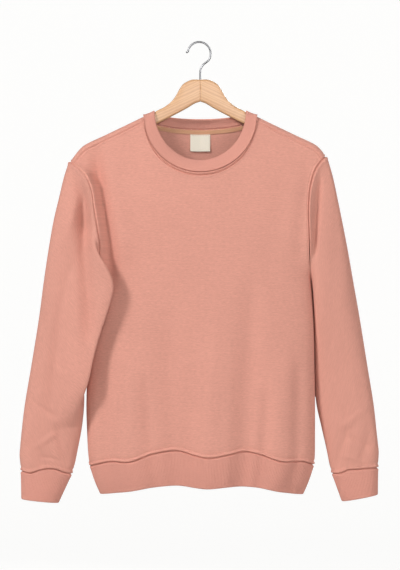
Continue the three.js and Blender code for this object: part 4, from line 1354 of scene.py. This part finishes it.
def chrome_material():
    """Plated steel wire with faint drawing marks."""
    material, tree, surface = surface_material("plated steel", Metallic=1.0, Base_Color=CHROME)
    marks = noise(tree, tree.nodes.new("ShaderNodeTexCoord").outputs["Object"], 700.0, 4.0, 0.6)
    tree.links.new(number(tree, "MULTIPLY_ADD", marks, 0.12, 0.36), surface.inputs["Roughness"])
    bumped(tree, surface, marks, 0.01, 0.00005)
    return material


# Studio
FLOOR_HEIGHT, STUDIO_RADIUS, STUDIO_TOP, SWEEP = -1750.0, 9000.0, 3000.0, 1600.0
STUDIO_SIDES, FLOOR_STEPS, SWEEP_STEPS = 96, 12, 16
GLOW_STRENGTH, SKY_STRENGTH = 0.93, 0.12

# Name, place, size, power of each light, in metres and watts, and what they all face.
LIGHTS = (
    ("key", (-3.6, -2.9, 2.5), 1.1, 230),
    ("side", (2.3, -1.9, 0.5), 1.6, 31),
    ("front", (0.3, -4.9, 0.4), 1.6, 93),
    ("back", (1.6, 4.6, 1.4), 3.0, 250),
)
LIT_PLACE = (0, 0, -0.42)

# Camera, in metres and millimetres of film
CAMERA_PLACE, CAMERA_REACH = (-0.0005, -4.0, -0.4356), 60
CAMERA_LENS, FILM_WIDTH = 140.35, 36


def studio():
    """A pale floor that sweeps up into a round wall, open above."""
    turn = np.linspace(0, math.pi / 2, SWEEP_STEPS)[1:]
    floor = np.linspace(0, STUDIO_RADIUS - SWEEP, FLOOR_STEPS)
    radius = np.concatenate([floor, floor[-1] + SWEEP * np.sin(turn), [STUDIO_RADIUS]])
    rise = np.concatenate([0 * floor, SWEEP * (1 - np.cos(turn)), [STUDIO_TOP - FLOOR_HEIGHT]])
    around = 2 * math.pi * np.arange(STUDIO_SIDES) / STUDIO_SIDES
    radius, height = radius[:, None], FLOOR_HEIGHT + rise[:, None]
    rings = point(radius * np.cos(around), radius * np.sin(around), height)
    open_faces = ring_faces(len(radius), STUDIO_SIDES)[:-2]
    made = mesh_object("studio_sweep", rings.reshape(-1, 3), open_faces)
    made.data.materials.append(paper_material())


def paper_material():
    """Bright studio paper: seen by the camera as near white, and giving soft light back."""
    material = bpy.data.materials.new("studio paper")
    material.use_nodes = True
    tree = material.node_tree
    tree.nodes.clear()
    out = tree.nodes.new("ShaderNodeOutputMaterial")
    matt = add(tree, "ShaderNodeBsdfDiffuse", Color=PAPER)
    seen_matt = add(tree, "ShaderNodeBsdfDiffuse", Color=PAPER_SEEN)
    glow = add(tree, "ShaderNodeEmission", Color=PAPER_GLOW, Strength=GLOW_STRENGTH)
    seen = tree.nodes.new("ShaderNodeAddShader")
    tree.links.new(seen_matt.outputs[0], seen.inputs[0])
    tree.links.new(glow.outputs[0], seen.inputs[1])
    rays = tree.nodes.new("ShaderNodeLightPath")
    chosen = tree.nodes.new("ShaderNodeMixShader")
    tree.links.new(rays.outputs["Is Camera Ray"], chosen.inputs[0])
    tree.links.new(matt.outputs[0], chosen.inputs[1])
    tree.links.new(seen.outputs[0], chosen.inputs[2])
    tree.links.new(chosen.outputs[0], out.inputs["Surface"])
    return material


def sky():
    world = bpy.data.worlds.new("studio light")
    world.use_nodes = True
    background = world.node_tree.nodes["Background"]
    background.inputs["Color"].default_value = (1, 1, 1, 1)
    background.inputs["Strength"].default_value = SKY_STRENGTH
    bpy.context.scene.world = world


def soft_light(name, place, size, power):
    data = bpy.data.lights.new(name, "AREA")
    data.shape = "SQUARE"
    data.size = size
    data.energy = power
    made = bpy.data.objects.new(name, data)
    made.location = place
    made.rotation_euler = (Vector(LIT_PLACE) - Vector(place)).to_track_quat("-Z", "Y").to_euler()
    bpy.context.scene.collection.objects.link(made)


def camera():
    data = bpy.data.cameras.new("photograph")
    data.lens = CAMERA_LENS
    data.sensor_width = FILM_WIDTH
    data.clip_end = CAMERA_REACH
    made = bpy.data.objects.new("photograph", data)
    made.location = CAMERA_PLACE
    made.rotation_euler = (math.pi / 2, 0, 0)
    bpy.context.scene.collection.objects.link(made)
    bpy.context.scene.camera = made


def dress(piece, material, node=None):
    """Gives a piece its material and its place in the frame."""
    piece.data.materials.append(material)
    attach(piece, "root")
    if node:
        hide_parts(node)


def build():
    """The whole garment on its hanger."""
    knit = knit_group()
    fleece = knit_material(
        "brushed fleece", knit, PEACH, wale=0.0011, streak=0.36, fuzz=0.8, strength=0.7, sheen=0.1
    )
    ribbing = knit_material(
        "rib knit", knit, PEACH_RIB, wale=0.0009, streak=0.14, fuzz=0.6, strength=0.6, sheen=0.08
    )
    thread, beech = thread_material(), beech_material()

    front, back = Panel("front", True), Panel("back", False)
    dress(front.cloth, fleece, "front")
    dress(back.cloth, fleece, "back")
    arms, sleeves, cuffs, cuff_rows = [], [], [], []
    for side in (LEFT, RIGHT):
        arm = hanger_arm(side)
        dress(arm, beech, "hanger_wood")
        arms.append(arm.name)
    dress(hook(), chrome_material(), "hanger_hook")
    for side in (LEFT, RIGHT):
        cloth, row = sleeve(side)
        dress(cloth, fleece, "sleeve_" + side.name)
        ribs = cuff(side)
        dress(ribs, ribbing, "cuff_" + side.name)
        sleeves.append(cloth)
        cuffs.append(ribs)
        cuff_rows.append(row)
    band_piece, neck_piece = waistband(), collar()
    dress(band_piece, ribbing, "waistband")
    dress(neck_piece, ribbing, "collar")
    tape, tape_rows = neck_tape()
    dress(tape, tape_material(), "neck_tape")
    tag, tag_rows = label()
    dress(tag, label_material(), "label")
    sewn = [
        front.stitching(),
        back.stitching(),
        stitches("cuff_stitches", cuff_rows),
        stitches("tape_stitches", tape_rows),
        stitches("label_stitches", tag_rows),
    ]
    for piece in sewn:
        dress(piece, thread)


camera()
sky()
studio()
for light in LIGHTS:
    soft_light(*light)
build()
bpy.context.scene.view_settings.view_transform = "Standard"
